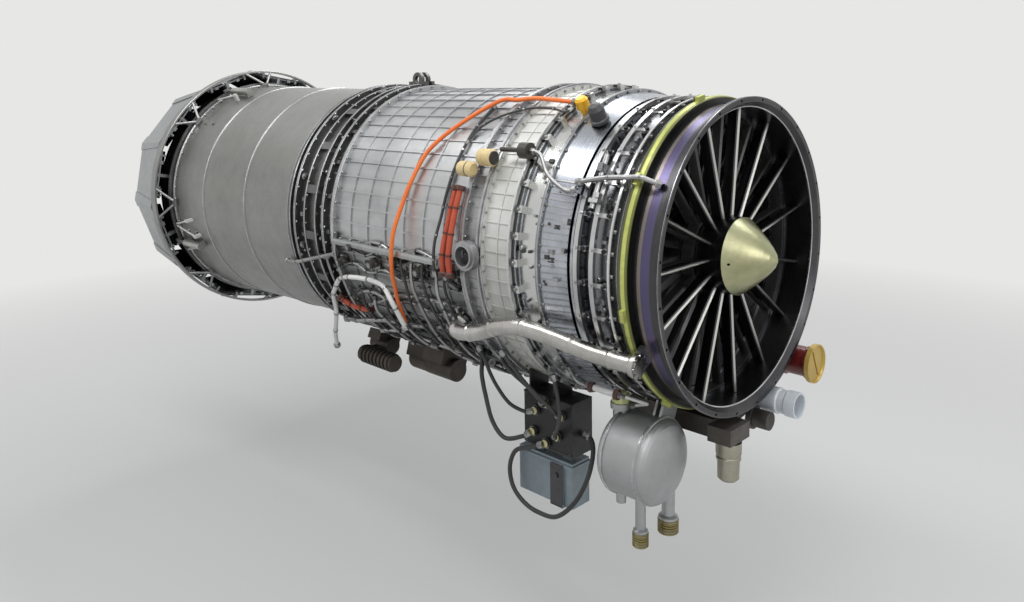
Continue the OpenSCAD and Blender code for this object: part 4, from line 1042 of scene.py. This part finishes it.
@dataclass
class DuctTrim(Trim):
    """Rims, bolt rows and strips of the bypass ducts, and the bolts of the level split."""

    rims: tuple[Rim, ...] = (
        Rim(497, 505, 416), Rim(505.5, 508, 420), Rim(557, 560, 420), Rim(570, 573, 420),
        Rim(1132, 1140, 420))
    rows: tuple[Row, ...] = (
        Row(497, 410, 70, size=3.8, height=4.0), Row(513, 414, 60, Face.AFT, 4.2),
        Row(557, 414, 60, size=4.2), Row(573, 414, 56, Face.AFT, 4.4, first=2.0),
        Row(1132, 414, 56, size=4.4, first=2.0))
    strip_count: int = 96
    strip_span: tuple[float, float] = (514, 556)
    strip_radii: tuple[float, float] = (405, 408.4)
    strip_half: float = 1.3
    trunnion_half: float = 7.0
    split_z: float = -35.0
    split_y: float = 420.0
    split_t: float = 8.0
    split_first: float = 605.0
    split_pitch: float = 49.0
    split_count: int = 11
    split_head: float = 5.0
    split_radii: tuple[float, float, float] = (5.4, 5.4, 3.8)
    split_steps: tuple[float, float, float] = (0, 0.92, 1)

    def pieces(self) -> Iterator[Piece]:
        """Gives its pieces in order.

        Yields:
            Rims, bolts and strips.
        """
        yield gather("duct_rims", self.rims, RIM, "mid_frame")
        bolts = gather("duct_bolts", self.rows, BOLT, "fasteners")
        for side in (-1, 1):
            for i in range(self.split_count):
                centre = Vector((-self.split_first - i * self.split_pitch, side * self.split_y, self.split_z))
                for way in (-1, 1):
                    tip = centre + Vector((0, 0, way * (self.split_t + self.split_head)))
                    bolts.shape.rod(centre, tip, self.split_radii, 6, self.split_steps)
        yield bolts
        strips = Shape("mid_frame_strips")
        (ahead, behind), (low, high) = self.strip_span, self.strip_radii
        for i in range(self.strip_count):
            angle = 360 * (i + 0.5) / self.strip_count
            if min(abs((angle - side + 180) % 360 - 180) for side in (0, 180)) >= self.trunnion_half:
                strips.box((-behind, low, -self.strip_half), (-ahead, high, self.strip_half), about(angle))
        yield Piece(strips, (PALE_CAST,), "mid_frame")


@dataclass
class AftTrim(Trim):
    """Rims, bolts and small brackets of the aft ring and the afterburner casing's ends."""

    rims: tuple[Rim, ...] = (
        Rim(1140.5, 1144, 420), Rim(1178, 1180.5, 426), Rim(1184, 1186, 426), Rim(1224, 1227, 424),
        Rim(1290, 1292.5, 420), Rim(1336, 1338.5, 426), Rim(1342, 1344, 426), Rim(1367, 1369.5, 425),
        Rim(1384, 1387, 423), Rim(1681.1, 1682.9, 417.2, 0.3), Rim(1976.1, 1977.9, 422.9, 0.3),
        Rim(2197, 2199, 432), Rim(2202, 2205, 432))
    rows: tuple[Row, ...] = (
        Row(1178, 420, 54, size=4.0), Row(1186, 420, 54, Face.AFT, 4.0), Row(1232, 418, 48, Face.AFT),
        Row(1290, 415, 60, size=3.4), Row(1296, 415, 60, Face.AFT, 3.4), Row(1336, 420, 48),
        Row(1344, 420, 48, Face.AFT), Row(1387, 417, 54, Face.AFT, 4.0),
        Row(1316, 421, 12, Face.OUT, 7.0, 6.0, 10), Row(2197, 428, 60, size=3.6))
    seats: Rows = ((1206, 26, 3.0), (1352, 20, 8.0))
    bracket: tuple[float, float, float] = (9, 10, 7)
    spread: float = 0.22
    seat_r: float = 405.0
    seat_bolt: tuple[float, float] = (4.2, 3.0)
    seed: int = 11

    def pieces(self) -> Iterator[Piece]:
        """Gives its pieces in order.

        Yields:
            Rims, brackets and bolts.
        """
        yield gather("aft_rims", self.rims, RIM, "aft_ring")
        bolts = gather("aft_bolts", self.rows, BOLT, "fasteners")
        draw = random.Random(self.seed)
        brackets = Shape("aft_brackets")
        for station, count, first in self.seats:
            for i in range(count):
                angle = first + 360 * (i + draw.uniform(-self.spread, self.spread)) / count
                half_x, height, half_z = (side * draw.uniform(0.75, 1.2) for side in self.bracket)
                place = stand(station, angle, self.seat_r)
                brackets.box((-half_x, 0, -half_z), (half_x, height, half_z), place)
                axis, seat = at(0, angle, 1), at(station, angle, self.seat_r + height)
                bolts.shape.head(seat - axis, seat + 5 * axis, *self.seat_bolt)
        yield Piece(brackets, (DARK,), "aft_ring")
        yield bolts


@dataclass
class Nozzle(Trim):
    """The inner leaves of the tail flaps and the thin rods ahead of them."""

    count: int = 12
    first: float = 169.0
    ends: Rows = ((-2522.0, 435.6), (-2385.0, 400.0))
    half: float = 96.0
    thick: float = 3.0
    shields: Rows = ((2288, 384, 424), (2318, 380, 424), (2350, 372, 420))
    rods: Rows = ((2058, -162, 442, 2196, -166, 440), (2058, -156, 442, 2196, -152, 440),
                  (2090, 118, 446, 2196, 121, 440), (2090, 190, 444, 2196, 193, 440))
    rod_r: float = 3.2
    foot: Rows = ((-9, -24, -5), (9, 5, 5))
    eye: float = 6.0

    def pieces(self) -> Iterator[Piece]:
        """Gives its pieces in order.

        Yields:
            One leaf on each flap, the heat shields and the thin rods.
        """
        lining = FINISHES["inner_flaps"]
        for i in range(self.count):
            leaf = Shape(f"inner_leaf_{i + 1:02d}")
            turn = about(self.first + 360 * i / self.count)
            leaf.loft([[turn @ Vector((x, height, across)) for height, across in (
                (y, -self.half), (y, self.half), (y + self.thick, self.half), (y + self.thick, -self.half))]
                for x, y in self.ends])
            yield Piece(leaf, (lining,), "outer_flap", f"flap_{i + 1:02d}", Edge.FLAT)
        shields = Shape("heat_shields")
        for station, low, high in self.shields:
            shields.turned(
                [(station, low), (station - 6, high), (station - 3, high), (station + 3, low)], 144)
        yield Piece(shields, (lining,), "inner_flaps")
        rods = Shape("nozzle_links")
        for row in self.rods:
            start, eye = at(*row[:3]), Vector((self.eye, 0, 0))
            rods.rod(start, at(*row[3:]), (self.rod_r, self.rod_r), 12)
            rods.box(*self.foot, stand(*row[:3]))
            rods.rod(start - eye, start + eye, (self.eye, self.eye), 12)
        yield Piece(rods, (WHITE_METAL,), "nozzle_actuators")


@dataclass(frozen=True)
class Tube:
    """One pipe, hose or cable: its route, radius, colour and fittings."""

    route: tuple[Vector, ...]
    radius: float
    colour: int = 0
    bands: int = 0


@dataclass
class TubeSet(Trim):
    """Round tubes of one kind, with nuts at their ends and bands along them."""

    name: str
    tubes: tuple[Tube, ...]
    finishes: tuple[Finish, ...]
    kind: str = "pipes"
    stands_for: tuple[str, ...] = ()
    nut_length: float = 13.0
    nut_wide: float = 1.7
    nut_narrow: float = 1.25
    band_length: float = 5.0
    band_rise: float = 1.4

    def pieces(self) -> Iterator[Piece]:
        """Gives the tubes as one piece, its last finish on the fittings.

        Yields:
            The piece.
        """
        shape = Shape(self.name)
        for tube in self.tubes:
            shape.slot = tube.colour
            line = shape.sweep(tube.route, tube.radius, 16, 8)
            shape.slot = len(self.finishes) - 1
            for end, ahead in ((0, 1), (-1, -2)):
                way = (line[ahead] - line[end]).normalized() * self.nut_length
                shape.head(
                    line[end], line[end] + way, tube.radius * self.nut_wide, tube.radius * self.nut_narrow)
            for i in range(tube.bands):
                index = round((i + 1) / (tube.bands + 1) * (len(line) - 1))
                way = (line[index + 1] - line[index - 1]).normalized() * self.band_length / 2
                wide = tube.radius + self.band_rise
                shape.rod(line[index] - way, line[index] + way, (wide, wide), 16)
        yield Piece(shape, self.finishes, self.kind, replaces=self.stands_for)


def places(*rows: tuple[float, float, float]) -> tuple[Vector, ...]:
    """Turns rows of station, angle and radius into points."""
    return tuple(at(*row) for row in rows)


def points(*rows: tuple[float, float, float]) -> tuple[Vector, ...]:
    """Turns rows of X, Y and Z into points."""
    return tuple(Vector(row) for row in rows)


def cable_and_hoses() -> list[TubeSet]:
    """Lists the soft tubes, each along the route of the solid that it stands for.

    Returns:
        The sets in order.
    """
    orange = Tube(
        places((360.6, 119, 428), (420, 118, 429), (500, 117.5, 433), (565, 118, 430), (630, 119, 430),
        (713, 132, 422), (772, 144, 420), (793, 156, 420), (806, 168, 428), (815, 177, 440),
        (825, -175, 442), (838, -168, 439), (849, -163, 433), (862, -157, 430.5), (873, -150, 431),
        (880, -143, 438)), 6)
    white = Tube(
        (*points((-1336, -285, -440), (-1318, -302, -392), (-1280, -324, -342), (-1228, -356, -280)),
        *places((1201, -149.6, 443), (1182, -152.8, 436), (1160, -156, 431), (1136, -158.5, 427.2),
        (1105, -159.8, 427.2), (1040, -161, 427), (972, -161.2, 425), (920, -160, 426), (884, -156.2, 440),
        (864, -150.4, 449), (858, -144.2, 455))), 7, bands=9)
    reds = (
        Tube(places((602, 157, 428), (606, 163, 426), (610, 170, 426), (612, 177, 435), (612, -178, 442.2),
            (612, -172, 443.1)), 7.6, bands=3),
        Tube(places((580, 157, 433), (583, 163, 432), (586, 170, 433), (588, 177, 438), (588, -178, 442.2),
            (588, -172, 443.1)), 7.6, bands=3),
        Tube(places((1182, -149, 435.2), (1160, -146.5, 436), (1120, -144, 432), (1070, -142, 419.2)), 9,
            bands=3),
        Tube(points((-180, -276, -312), (-200, -279, -311), (-221, -281, -310), (-242, -282, -309),
            (-262, -283, -309)), 8, colour=1))
    return [
        TubeSet("orange_cable_sheath", (orange,), (ORANGE, BOLT), "orange_cable", ("orange_cable",)),
        TubeSet("white_hose_sleeve", (white,), (WHITE_SLEEVE, BOLT), "white_hose", ("white_hose",)),
        TubeSet("red_hose_sleeves", reds, (RED_SLEEVE, WHITE_SLEEVE, BROWN_BAND), "sleeved_hoses",
                ("sleeved_hoses",))]


def metal_pipes() -> TubeSet:
    """Lists the rigid pipes, each along the route of the solid that it stands for.

    Returns:
        The set.
    """
    tubes = (
        Tube(places((650, 119, 415.5), (648, 130, 415.5), (646, 140, 415.5), (646, 150, 415.5),
            (647, 160, 415.5), (648, 168, 418), (650, 177, 433), (652, -176, 438), (652, -171, 438)), 4, 1,
            bands=6),
        Tube(places((40, 147, 372.6), (56, 147, 385), (78, 147, 402.7), (104, 147.3, 402.7),
            (160, 148, 403.5), (205, 149.5, 406), (238, 151, 408.3)), 6, bands=2),
        Tube(places((385.4, 143, 437), (352, 144, 434), (316, 150, 424), (262, 154, 411),
            (234, 153.2, 407.3)), 5),
        Tube(places((600, -158, 424), (660, -158, 416.1), (740, -158, 416.1), (820, -157, 416.1),
            (900, -155, 416.1), (980, -150, 416.1), (1060, -146, 418)), 6, bands=5),
        Tube(places((680, -148, 418.1), (760, -144, 418.1), (880, -140, 418.1), (1000, -138, 420),
            (1110, -136, 432), (1180, -134, 440), (1260, -132, 440)), 8, bands=6),
        Tube(places((620, -128, 428), (680, -125, 417.1), (760, -123, 417.1), (860, -122, 417.1),
            (940, -125, 417.1), (1020, -128, 420), (1100, -129, 434)), 7, bands=4),
        Tube(points((-179.7, -229, -353), (-165, -225, -347), (-146, -222, -341), (-133, -230, -334),
            (-138, -246, -326), (-158, -262, -318), (-178.2, -275, -312)), 4, 2),
        Tube(points((-263, -283, -309), (-290, -288, -306), (-304, -290, -296), (-306, -300, -278),
            (-306, -314, -260)), 4),
        Tube(places((1120, -170, 428), (1182, -168, 432.5), (1270, -165, 432.8), (1340, -162.5, 432.8),
            (1372, -161.8, 432), (1440, -160, 424)), 6, bands=3))
    return TubeSet("metal_pipes", tubes, (STEEL, BLACK_BRAID, WHITE_SLEEVE, BOLT), "pipes", ("pipes",))


def black_cables() -> list[TubeSet]:
    """Lists the control box's cables and the thin cable over the ducts.

    Returns:
        The sets in order.
    """
    loops = (
        Tube(points((-430, -268.3, -512), (-470, -274, -530), (-524, -274, -556), (-548, -273, -610),
            (-538, -271, -664), (-500, -269, -696), (-450, -268, -706), (-388, -267, -696),
            (-330, -264, -640), (-300, -250, -575), (-296, -230, -515), (-314, -212, -484),
            (-339.6, -210, -476)), 6),
        Tube(points((-475, -268.3, -492), (-498, -276, -508), (-545, -294, -520), (-578, -306, -480),
            (-590, -318, -410), (-600, -322, -350), (-614, -306, -312), (-640, -296, -297)), 6),
        Tube(points((-430, -266.9, -404), (-424, -286, -384), (-440, -306, -352), (-484, -326, -314),
            (-518, -322, -294), (-535, -303.9, -278.5)), 6))
    thin = Tube(
        places((362, 121.5, 424), (371, 124, 425), (420, 122, 423), (474, 121.5, 423), (516, 123, 425),
        (571, 127, 426), (618, 131, 420), (636, 134, 415.6), (647, 140, 415.6)), 3, bands=3)
    extra = (
        Tube(points((-466, -266, -432), (-486, -276, -436), (-526, -292, -420), (-556, -306, -380),
            (-572, -318, -340), (-590, -322, -300), (-616, -318, -277)), 5),
        Tube(points((-377, -266, -425), (-372, -284, -408), (-392, -306, -376), (-430, -322, -340),
            (-470, -332, -300), (-512, -336, -262)), 5),
        Tube(points((-392, -266, -483), (-380, -280, -470), (-360, -290, -440), (-352, -292, -400),
            (-356, -296, -350), (-366, -300, -300)), 5))
    return [TubeSet("harness_loops", loops, (BLACK_BRAID, BOLT), "harness", ("harness",), 18),
            TubeSet("thin_cable", (thin,), (BLACK_BRAID, BOLT), "harness"),
            TubeSet("plug_cables", extra, (BLACK_BRAID, BOLT), "harness", nut_length=18)]


@dataclass
class BleedDuct(Trim):
    """The fat bleed duct with its beads, end flange, foot and pad."""

    route: tuple[Vector, ...] = places(
        (72, -152, 410), (120, -152.5, 413), (190, -154, 420), (268, -158, 434), (357, -160, 443),
        (440, -158, 446), (511, -154, 447), (566, -152, 450), (606, -151, 449), (624, -151, 442),
        (628, -151, 426))
    radius: float = 21.0
    bead_places: tuple[float, ...] = (60.0, 168.0, 290.0, 402.0, 508.0)
    bead_half: float = 5.0
    bead_rise: float = 0.11
    flange: tuple[float, float] = (-152, 410)
    bolt_count: int = 8
    bolt_circle: float = 24.6
    bolt_r: float = 2.4
    bolt_high: float = 4.0

    def swell(self, run: float) -> float:
        """Gives the duct's thickness along it: plain, with rounded beads.

        Args:
            run: Distance along the duct.

        Returns:
            The share of the plain radius.
        """
        for place in self.bead_places:
            off = abs(run - place) / self.bead_half
            if off < 1:
                return 1 + self.bead_rise * math.sqrt(1 - off * off)
        return 1.0

    def pieces(self) -> Iterator[Piece]:
        """Gives the duct as one piece.

        Yields:
            The piece.
        """
        shape = Shape("bleed_duct_skin")
        shape.sweep(self.route, self.radius, 32, 24, self.swell)
        shape.rod(at(62, *self.flange), at(76, *self.flange), (27, 28, 28, 27), 48, (0, 0.12, 0.88, 1))
        shape.rod(at(58, *self.flange), at(64, *self.flange), (22, 22), 32)
        shape.box((-78, 366.3, -22), (-62, 404, 22), about(self.flange[0]))
        shape.rod(at(628, -151, 410.3), at(628, -151, 427), (30, 30, 26), 40, (0, 0.7, 1))
        shape.slot = 1
        ring = circle(
            at(61, *self.flange), Vector((0, 1, 0)), Vector((0, 0, 1)), self.bolt_circle, self.bolt_count)
        for spot in ring:
            shape.rod(spot, spot + Vector((self.bolt_high, 0, 0)), (self.bolt_r, self.bolt_r), 6)
        yield Piece(shape, (FINISHES["bleed_duct"], BOLT), "bleed_duct", replaces=("bleed_duct",))


@dataclass
class ControlTrim(Trim):
    """Plug faces of the control box, the strap of the second unit and their screws."""

    plugs: Rows = ((-430, -404), (-466, -432), (-377, -425), (-475, -492), (-392, -483), (-430, -512))
    plug_y: float = -262.0
    plug_r: float = 12.0
    box: tuple[float, ...] = (-512, -346, -250, -532, -388)
    screw_in: float = 8.0
    unit: tuple[float, ...] = (-420, -378, -675.6, -561.4)
    unit_y: tuple[float, float] = (-253.6, -174.4)
    sheet: float = 2.0

    def pieces(self) -> Iterator[Piece]:
        """Gives its pieces in order.

        Yields:
            Plugs, the box's screws with its two edges, and the strap.
        """
        plugs = Shape("box_plugs")
        face_r, shell_r = self.plug_r - 2, self.plug_r + 1.6
        for x, z in self.plugs:
            face, out = Vector((x, self.plug_y, z)), Vector((0, -1, 0))
            plugs.slot = 0
            plugs.rod(face - out, face + 2.4 * out, (face_r, face_r), 28)
            plugs.slot = 1
            plugs.rod(face - 7 * out, face - 3 * out, (shell_r, shell_r), 18)
        yield Piece(plugs, (PLUG_YELLOW, BOLT), "control_box")
        x0, x1, y0, z0, z1 = self.box
        screws = Shape("box_screws")
        for x in (x0 + self.screw_in, (x0 + x1) / 2, x1 - self.screw_in):
            for z in (z0 + self.screw_in, z1 - self.screw_in):
                spot = Vector((x, y0, z))
                screws.rod(spot + Vector((0, 1, 0)), spot - Vector((0, 2.5, 0)), (4, 4, 3), 10, (0, 0.7, 1))
        for z in (z0 + 3, z1 - 5):
            screws.box((x0 - 1.2, y0 - 1.2, z), (x1 + 1.2, y0 + 4, z + 3))
        yield Piece(screws, (DARK,), "control_box")
        strap = Shape("unit_strap")
        first, last, low, high = self.unit
        front, back = self.unit_y
        strap.box((first, front, low), (last, front + self.sheet, high))
        strap.box((first, back - self.sheet, low), (last, back, high))
        strap.box((first, front, low), (last, back, low + self.sheet))
        buckle = Vector((first + 21, front - 4, high - 30))
        strap.rod(buckle, buckle + Vector((0, 6, 0)), (7, 7), 16)
        yield Piece(strap, (DARK,), "control_unit")


@dataclass
class TankTrim(Trim):
    """Brass-toned collars on the tank's outlets and the bands round its ends."""

    outlets: Rows = ((-125, -150, -681, 24), (-154, -225, -699, 18))
    collar_ribs: int = 6
    rib_pitch: float = 6.0
    rib_high: float = 4.6
    centre: tuple[float, float] = (-225, -467)
    band_x: tuple[float, float] = (-194, -103)
    band_r: float = 105.6
    band_half: float = 2.2
    steps: tuple[float, ...] = (0, 0.2, 0.8, 1)

    def pieces(self) -> Iterator[Piece]:
        """Gives its pieces in order.

        Yields:
            Collars and bands.
        """
        collars = Shape("outlet_collars")
        for x, y, z, radius in self.outlets:
            radii = (radius + 0.4, radius + 1.8, radius + 1.8, radius + 0.4)
            for i in range(self.collar_ribs):
                low = Vector((x, y, z + 1 + i * self.rib_pitch))
                collars.rod(low, low + Vector((0, 0, self.rib_high)), radii, 32, self.steps)
        yield Piece(collars, (BRASS,), "oil_tank")
        bands = Shape("tank_bands")
        for x in self.band_x:
            middle, half = Vector((x, *self.centre)), Vector((self.band_half, 0, 0))
            radii = (self.band_r - 3, self.band_r, self.band_r, self.band_r - 3)
            bands.rod(middle - half, middle + half, radii, 96, self.steps)
        yield Piece(bands, (RIM,), "oil_tank")


@dataclass
class LowerPipework(Trim):
    """Thin pipes, clips and small valves that crowd the underside of the ducts."""

    runs: Rows = (
        (590, 1060, -176, 5), (700, 1128, -172.5, 4), (585, 880, -168, 6), (760, 1120, -165, 4),
        (640, 1090, -152.5, 5), (600, 940, -133, 6), (700, 1120, -117.5, 5), (590, 860, -112, 7),
        (640, 870, -107, 5), (620, 870, -101, 6), (700, 1125, -94, 5), (600, 1120, -88, 6),
        (590, 1000, -80, 5), (640, 1120, -72, 6), (600, 1080, -60, 5), (590, 1120, -48, 6),
        (600, 1000, -36, 4))
    hoops: Rows = (
        (628, -176, -104, 4), (668, -172, -96, 5), (716, -177, -110, 4), (768, -174, -90, 5),
        (806, -176, -128, 4), (902, -153, -84, 5), (948, -154, -92, 4), (1006, -152, -100, 5),
        (1066, -154, -96, 4), (1120, -178, -110, 5))
    hoop_rise: float = 15.0
    hoop_sway: float = 5.0
    skin: float = 409.8
    wave: float = 1.6
    steps: int = 9
    valves: Rows = (
        (612, -171, 13), (735, -170, 15), (838, -172, 12), (945, -169, 15), (1040, -174, 13),
        (1105, -167, 11), (715, -134, 14), (835, -131, 16), (1010, -121, 12), (770, -115, 15),
        (690, -97, 16), (780, -86, 14), (900, -76, 15), (1010, -84, 13), (700, -66, 14), (860, -54, 15),
        (1010, -44, 13))
    valve_high: float = 26.0
    base: float = 4.0

    def pieces(self) -> Iterator[Piece]:
        """Gives its pieces in order.

        Yields:
            Pipes and valves.
        """
        tubes = []
        ends = (0, self.steps)
        for first, last, angle, radius in self.runs:
            rows = [(first + (last - first) * k / self.steps, angle + self.wave * math.sin(1.7 * k + angle),
                     self.skin + radius * (1.2 if k in ends else 1.0)) for k in range(self.steps + 1)]
            tubes.append(Tube(places(*rows), radius, len(tubes) % 3 // 2, bands=5))
        for station, first, last, radius in self.hoops:
            rows = [
                (station + self.hoop_sway * math.sin(1.3 * k + station),
                first + (last - first) * k / self.steps,
                self.skin + radius + (0 if k in ends else self.hoop_rise)) for k in range(self.steps + 1)]
            tubes.append(Tube(places(*rows), radius, len(tubes) % 2, bands=4))
        yield from TubeSet("underside_pipes", tuple(tubes), (STEEL, BLACK_BRAID, DARK_TUBE)).pieces()
        valves = Shape("underside_valves")
        for station, angle, radius in self.valves:
            foot, out = at(station, angle, self.skin), at(0, angle, 1)
            side, reach = foot + self.valve_high / 2 * out, Vector((radius + 9, 0, 0))
            wide, slim = radius + self.base, radius * 0.86
            valves.slot = 0
            valves.rod(
                foot, foot + self.valve_high * out, (radius, radius, slim, slim), 24, (0, 0.5, 0.55, 1))
            valves.rod(side - reach, side + reach, (5, 5), 12)
            valves.slot = 1
            valves.head(foot + 25 * out, foot + 32 * out, radius * 0.6, radius * 0.4)
            valves.box((-wide, 0, -wide), (wide, self.base, wide), stand(station, angle, self.skin))
        yield Piece(valves, (FINISHES["pumps"], BOLT), "pumps")


@dataclass
class Studio:
    """The floor, the soft lights and the camera."""

    floor_z: float = -1.15
    floor_r: float = 60.0
    floor_x: float = -1.2
    floor_sides: int = 96
    floor_colour: Colour = (0.62, 0.62, 0.61)
    floor_rough: float = 0.6
    pale: Colour = (0.80, 0.80, 0.79)
    fade: tuple[float, float] = (1.8, 5.5)
    sky: Colour = (0.93, 0.96, 1.0)
    sky_power: float = 0.45
    sensor: float = 36.0
    lens: float = 846.82 * 36 / 1024
    place: tuple[float, float, float] = (0.9903, -1.8369, 0.4326)
    yaw: float = 2.371886
    pitch: float = -0.116895
    roll: float = -0.019414
    shift: tuple[float, float] = ((512 - 485) / 1024, (180 - 301) / 1024)
    clip: tuple[float, float] = (0.05, 200)

    @staticmethod
    def blend(graph: Graph, share: Socket, first: Socket, second: Socket, output: str) -> None:
        """Mixes two shaders and joins them to the output.

        Args:
            graph: The graph to work in.
            share: Share of the second shader.
            first: First shader.
            second: Second shader.
            output: Name of the output node.
        """
        made = graph.node("ShaderNodeMixShader")
        for source, socket in zip((share, first, second), made.inputs):
            graph.put(source, socket)
        graph.put(made.outputs[0], graph.tree.nodes[output].inputs["Surface"])

    def floor(self) -> None:
        """Makes the pale floor, which fades into the background far away."""
        centre = Vector((0, 0, self.floor_z))
        ring = circle(centre, Vector((1, 0, 0)), Vector((0, 1, 0)), self.floor_r, self.floor_sides)
        mesh = bpy.data.meshes.new("floor")
        mesh.from_pydata(ring, [], [tuple(range(self.floor_sides))])
        floor = bpy.data.objects.new("floor", mesh)
        floor.location.x = self.floor_x
        bpy.context.scene.collection.objects.link(floor)
        material = bpy.data.materials.new("pale floor")
        material.use_nodes = True
        graph = Graph(material.node_tree)
        shader = material.node_tree.nodes["Principled BSDF"]
        shader.inputs["Base Color"].default_value = rgba(self.floor_colour)
        shader.inputs["Roughness"].default_value = self.floor_rough
        glow = graph.node("ShaderNodeEmission")
        glow.inputs["Color"].default_value = rgba(self.pale)
        length = graph.node("ShaderNodeVectorMath", operation="LENGTH")
        graph.put(Effects.spot(graph), length.inputs[0])
        share = graph.ramp(length.outputs["Value"], *self.fade)
        self.blend(graph, share, shader.outputs[0], glow.outputs[0], "Material Output")
        mesh.materials.append(material)

    def world(self) -> None:
        """Makes a pale background for the camera and for reflections, over a plain soft light."""
        world = bpy.data.worlds.new("studio")
        bpy.context.scene.world = world
        world.use_nodes = True
        graph = Graph(world.node_tree)
        soft = world.node_tree.nodes["Background"]
        soft.inputs["Color"].default_value = rgba(self.sky)
        soft.inputs["Strength"].default_value = self.sky_power
        seen = graph.node("ShaderNodeBackground")
        seen.inputs["Color"].default_value = rgba(self.pale)
        path = graph.node("ShaderNodeLightPath")
        direct = graph.math("ADD", path.outputs["Is Camera Ray"], path.outputs["Is Glossy Ray"])
        share = graph.math("ADD", direct, path.outputs["Is Transmission Ray"], clamp=True)
        self.blend(graph, share, soft.outputs[0], seen.outputs[0], "World Output")

    @staticmethod
    def lamp(name: str, place: Sequence[float], target: Sequence[float], size: tuple[float, float],
             power: float) -> None:
        """Hangs one soft rectangular lamp.

        Args:
            name: The lamp's name.
            place: Where it hangs.
            target: Where it points.
            size: Its length and width.
            power: Its power in watts.
        """
        light = bpy.data.lights.new(name, "AREA")
        light.shape = "RECTANGLE"
        light.size, light.size_y = size
        light.energy = power
        lamp = bpy.data.objects.new(name, light)
        lamp.location = place
        lamp.rotation_mode = "QUATERNION"
        lamp.rotation_quaternion = (Vector(target) - Vector(place)).to_track_quat("-Z", "Y")
        bpy.context.scene.collection.objects.link(lamp)

    def lights(self) -> None:
        """Hangs the overhead lamps and a weak one beside the camera."""
        self.lamp("overhead near", (-0.9, -1.6, 2.9), (-1.1, 0, 0), (4.5, 1.0), 95)
        self.lamp("overhead far", (-1.1, 1.7, 2.9), (-1.1, 0, 0), (4.5, 1.0), 70)
        self.lamp("front", (3.2, -1.2, 1.6), (0, 0, 0), (2.0, 2.0), 30)

    def camera(self) -> None:
        """Places the camera at the photograph's viewing angle."""
        data = bpy.data.cameras.new("camera")
        data.sensor_width = self.sensor
        data.lens = self.lens
        data.shift_x, data.shift_y = self.shift
        data.clip_start, data.clip_end = self.clip
        camera = bpy.data.objects.new("camera", data)
        ahead = Vector((math.cos(self.pitch) * math.cos(self.yaw), math.cos(self.pitch) * math.sin(self.yaw),
                        math.sin(self.pitch)))
        right = ahead.cross(Vector((0, 0, 1))).normalized()
        up = right.cross(ahead)
        tilted_right = right * math.cos(self.roll) + up * math.sin(self.roll)
        tilted_up = up * math.cos(self.roll) - right * math.sin(self.roll)
        turn = Matrix((tilted_right, tilted_up, -ahead)).transposed().to_4x4()
        turn.translation = self.place
        camera.matrix_world = turn
        bpy.context.scene.collection.objects.link(camera)
        bpy.context.scene.camera = camera

    def build(self) -> None:
        """Makes the whole studio."""
        bpy.context.scene.view_settings.view_transform = "Standard"
        self.camera()
        self.floor()
        self.world()
        self.lights()


def main() -> None:
    """Dresses the frame and builds every piece in order."""
    logging.basicConfig(level=logging.INFO, format="%(message)s")
    Studio().build()
    wardrobe = Wardrobe()
    wardrobe.dress_frame()
    parts = (FrontTrim(), CaseFittings(), DuctTrim(), AftTrim(), Nozzle(), *cable_and_hoses(), metal_pipes(),
             *black_cables(), BleedDuct(), ControlTrim(), TankTrim(), LowerPipework())
    for part in parts:
        part.build(wardrobe)


if __name__ == "__main__":
    main()
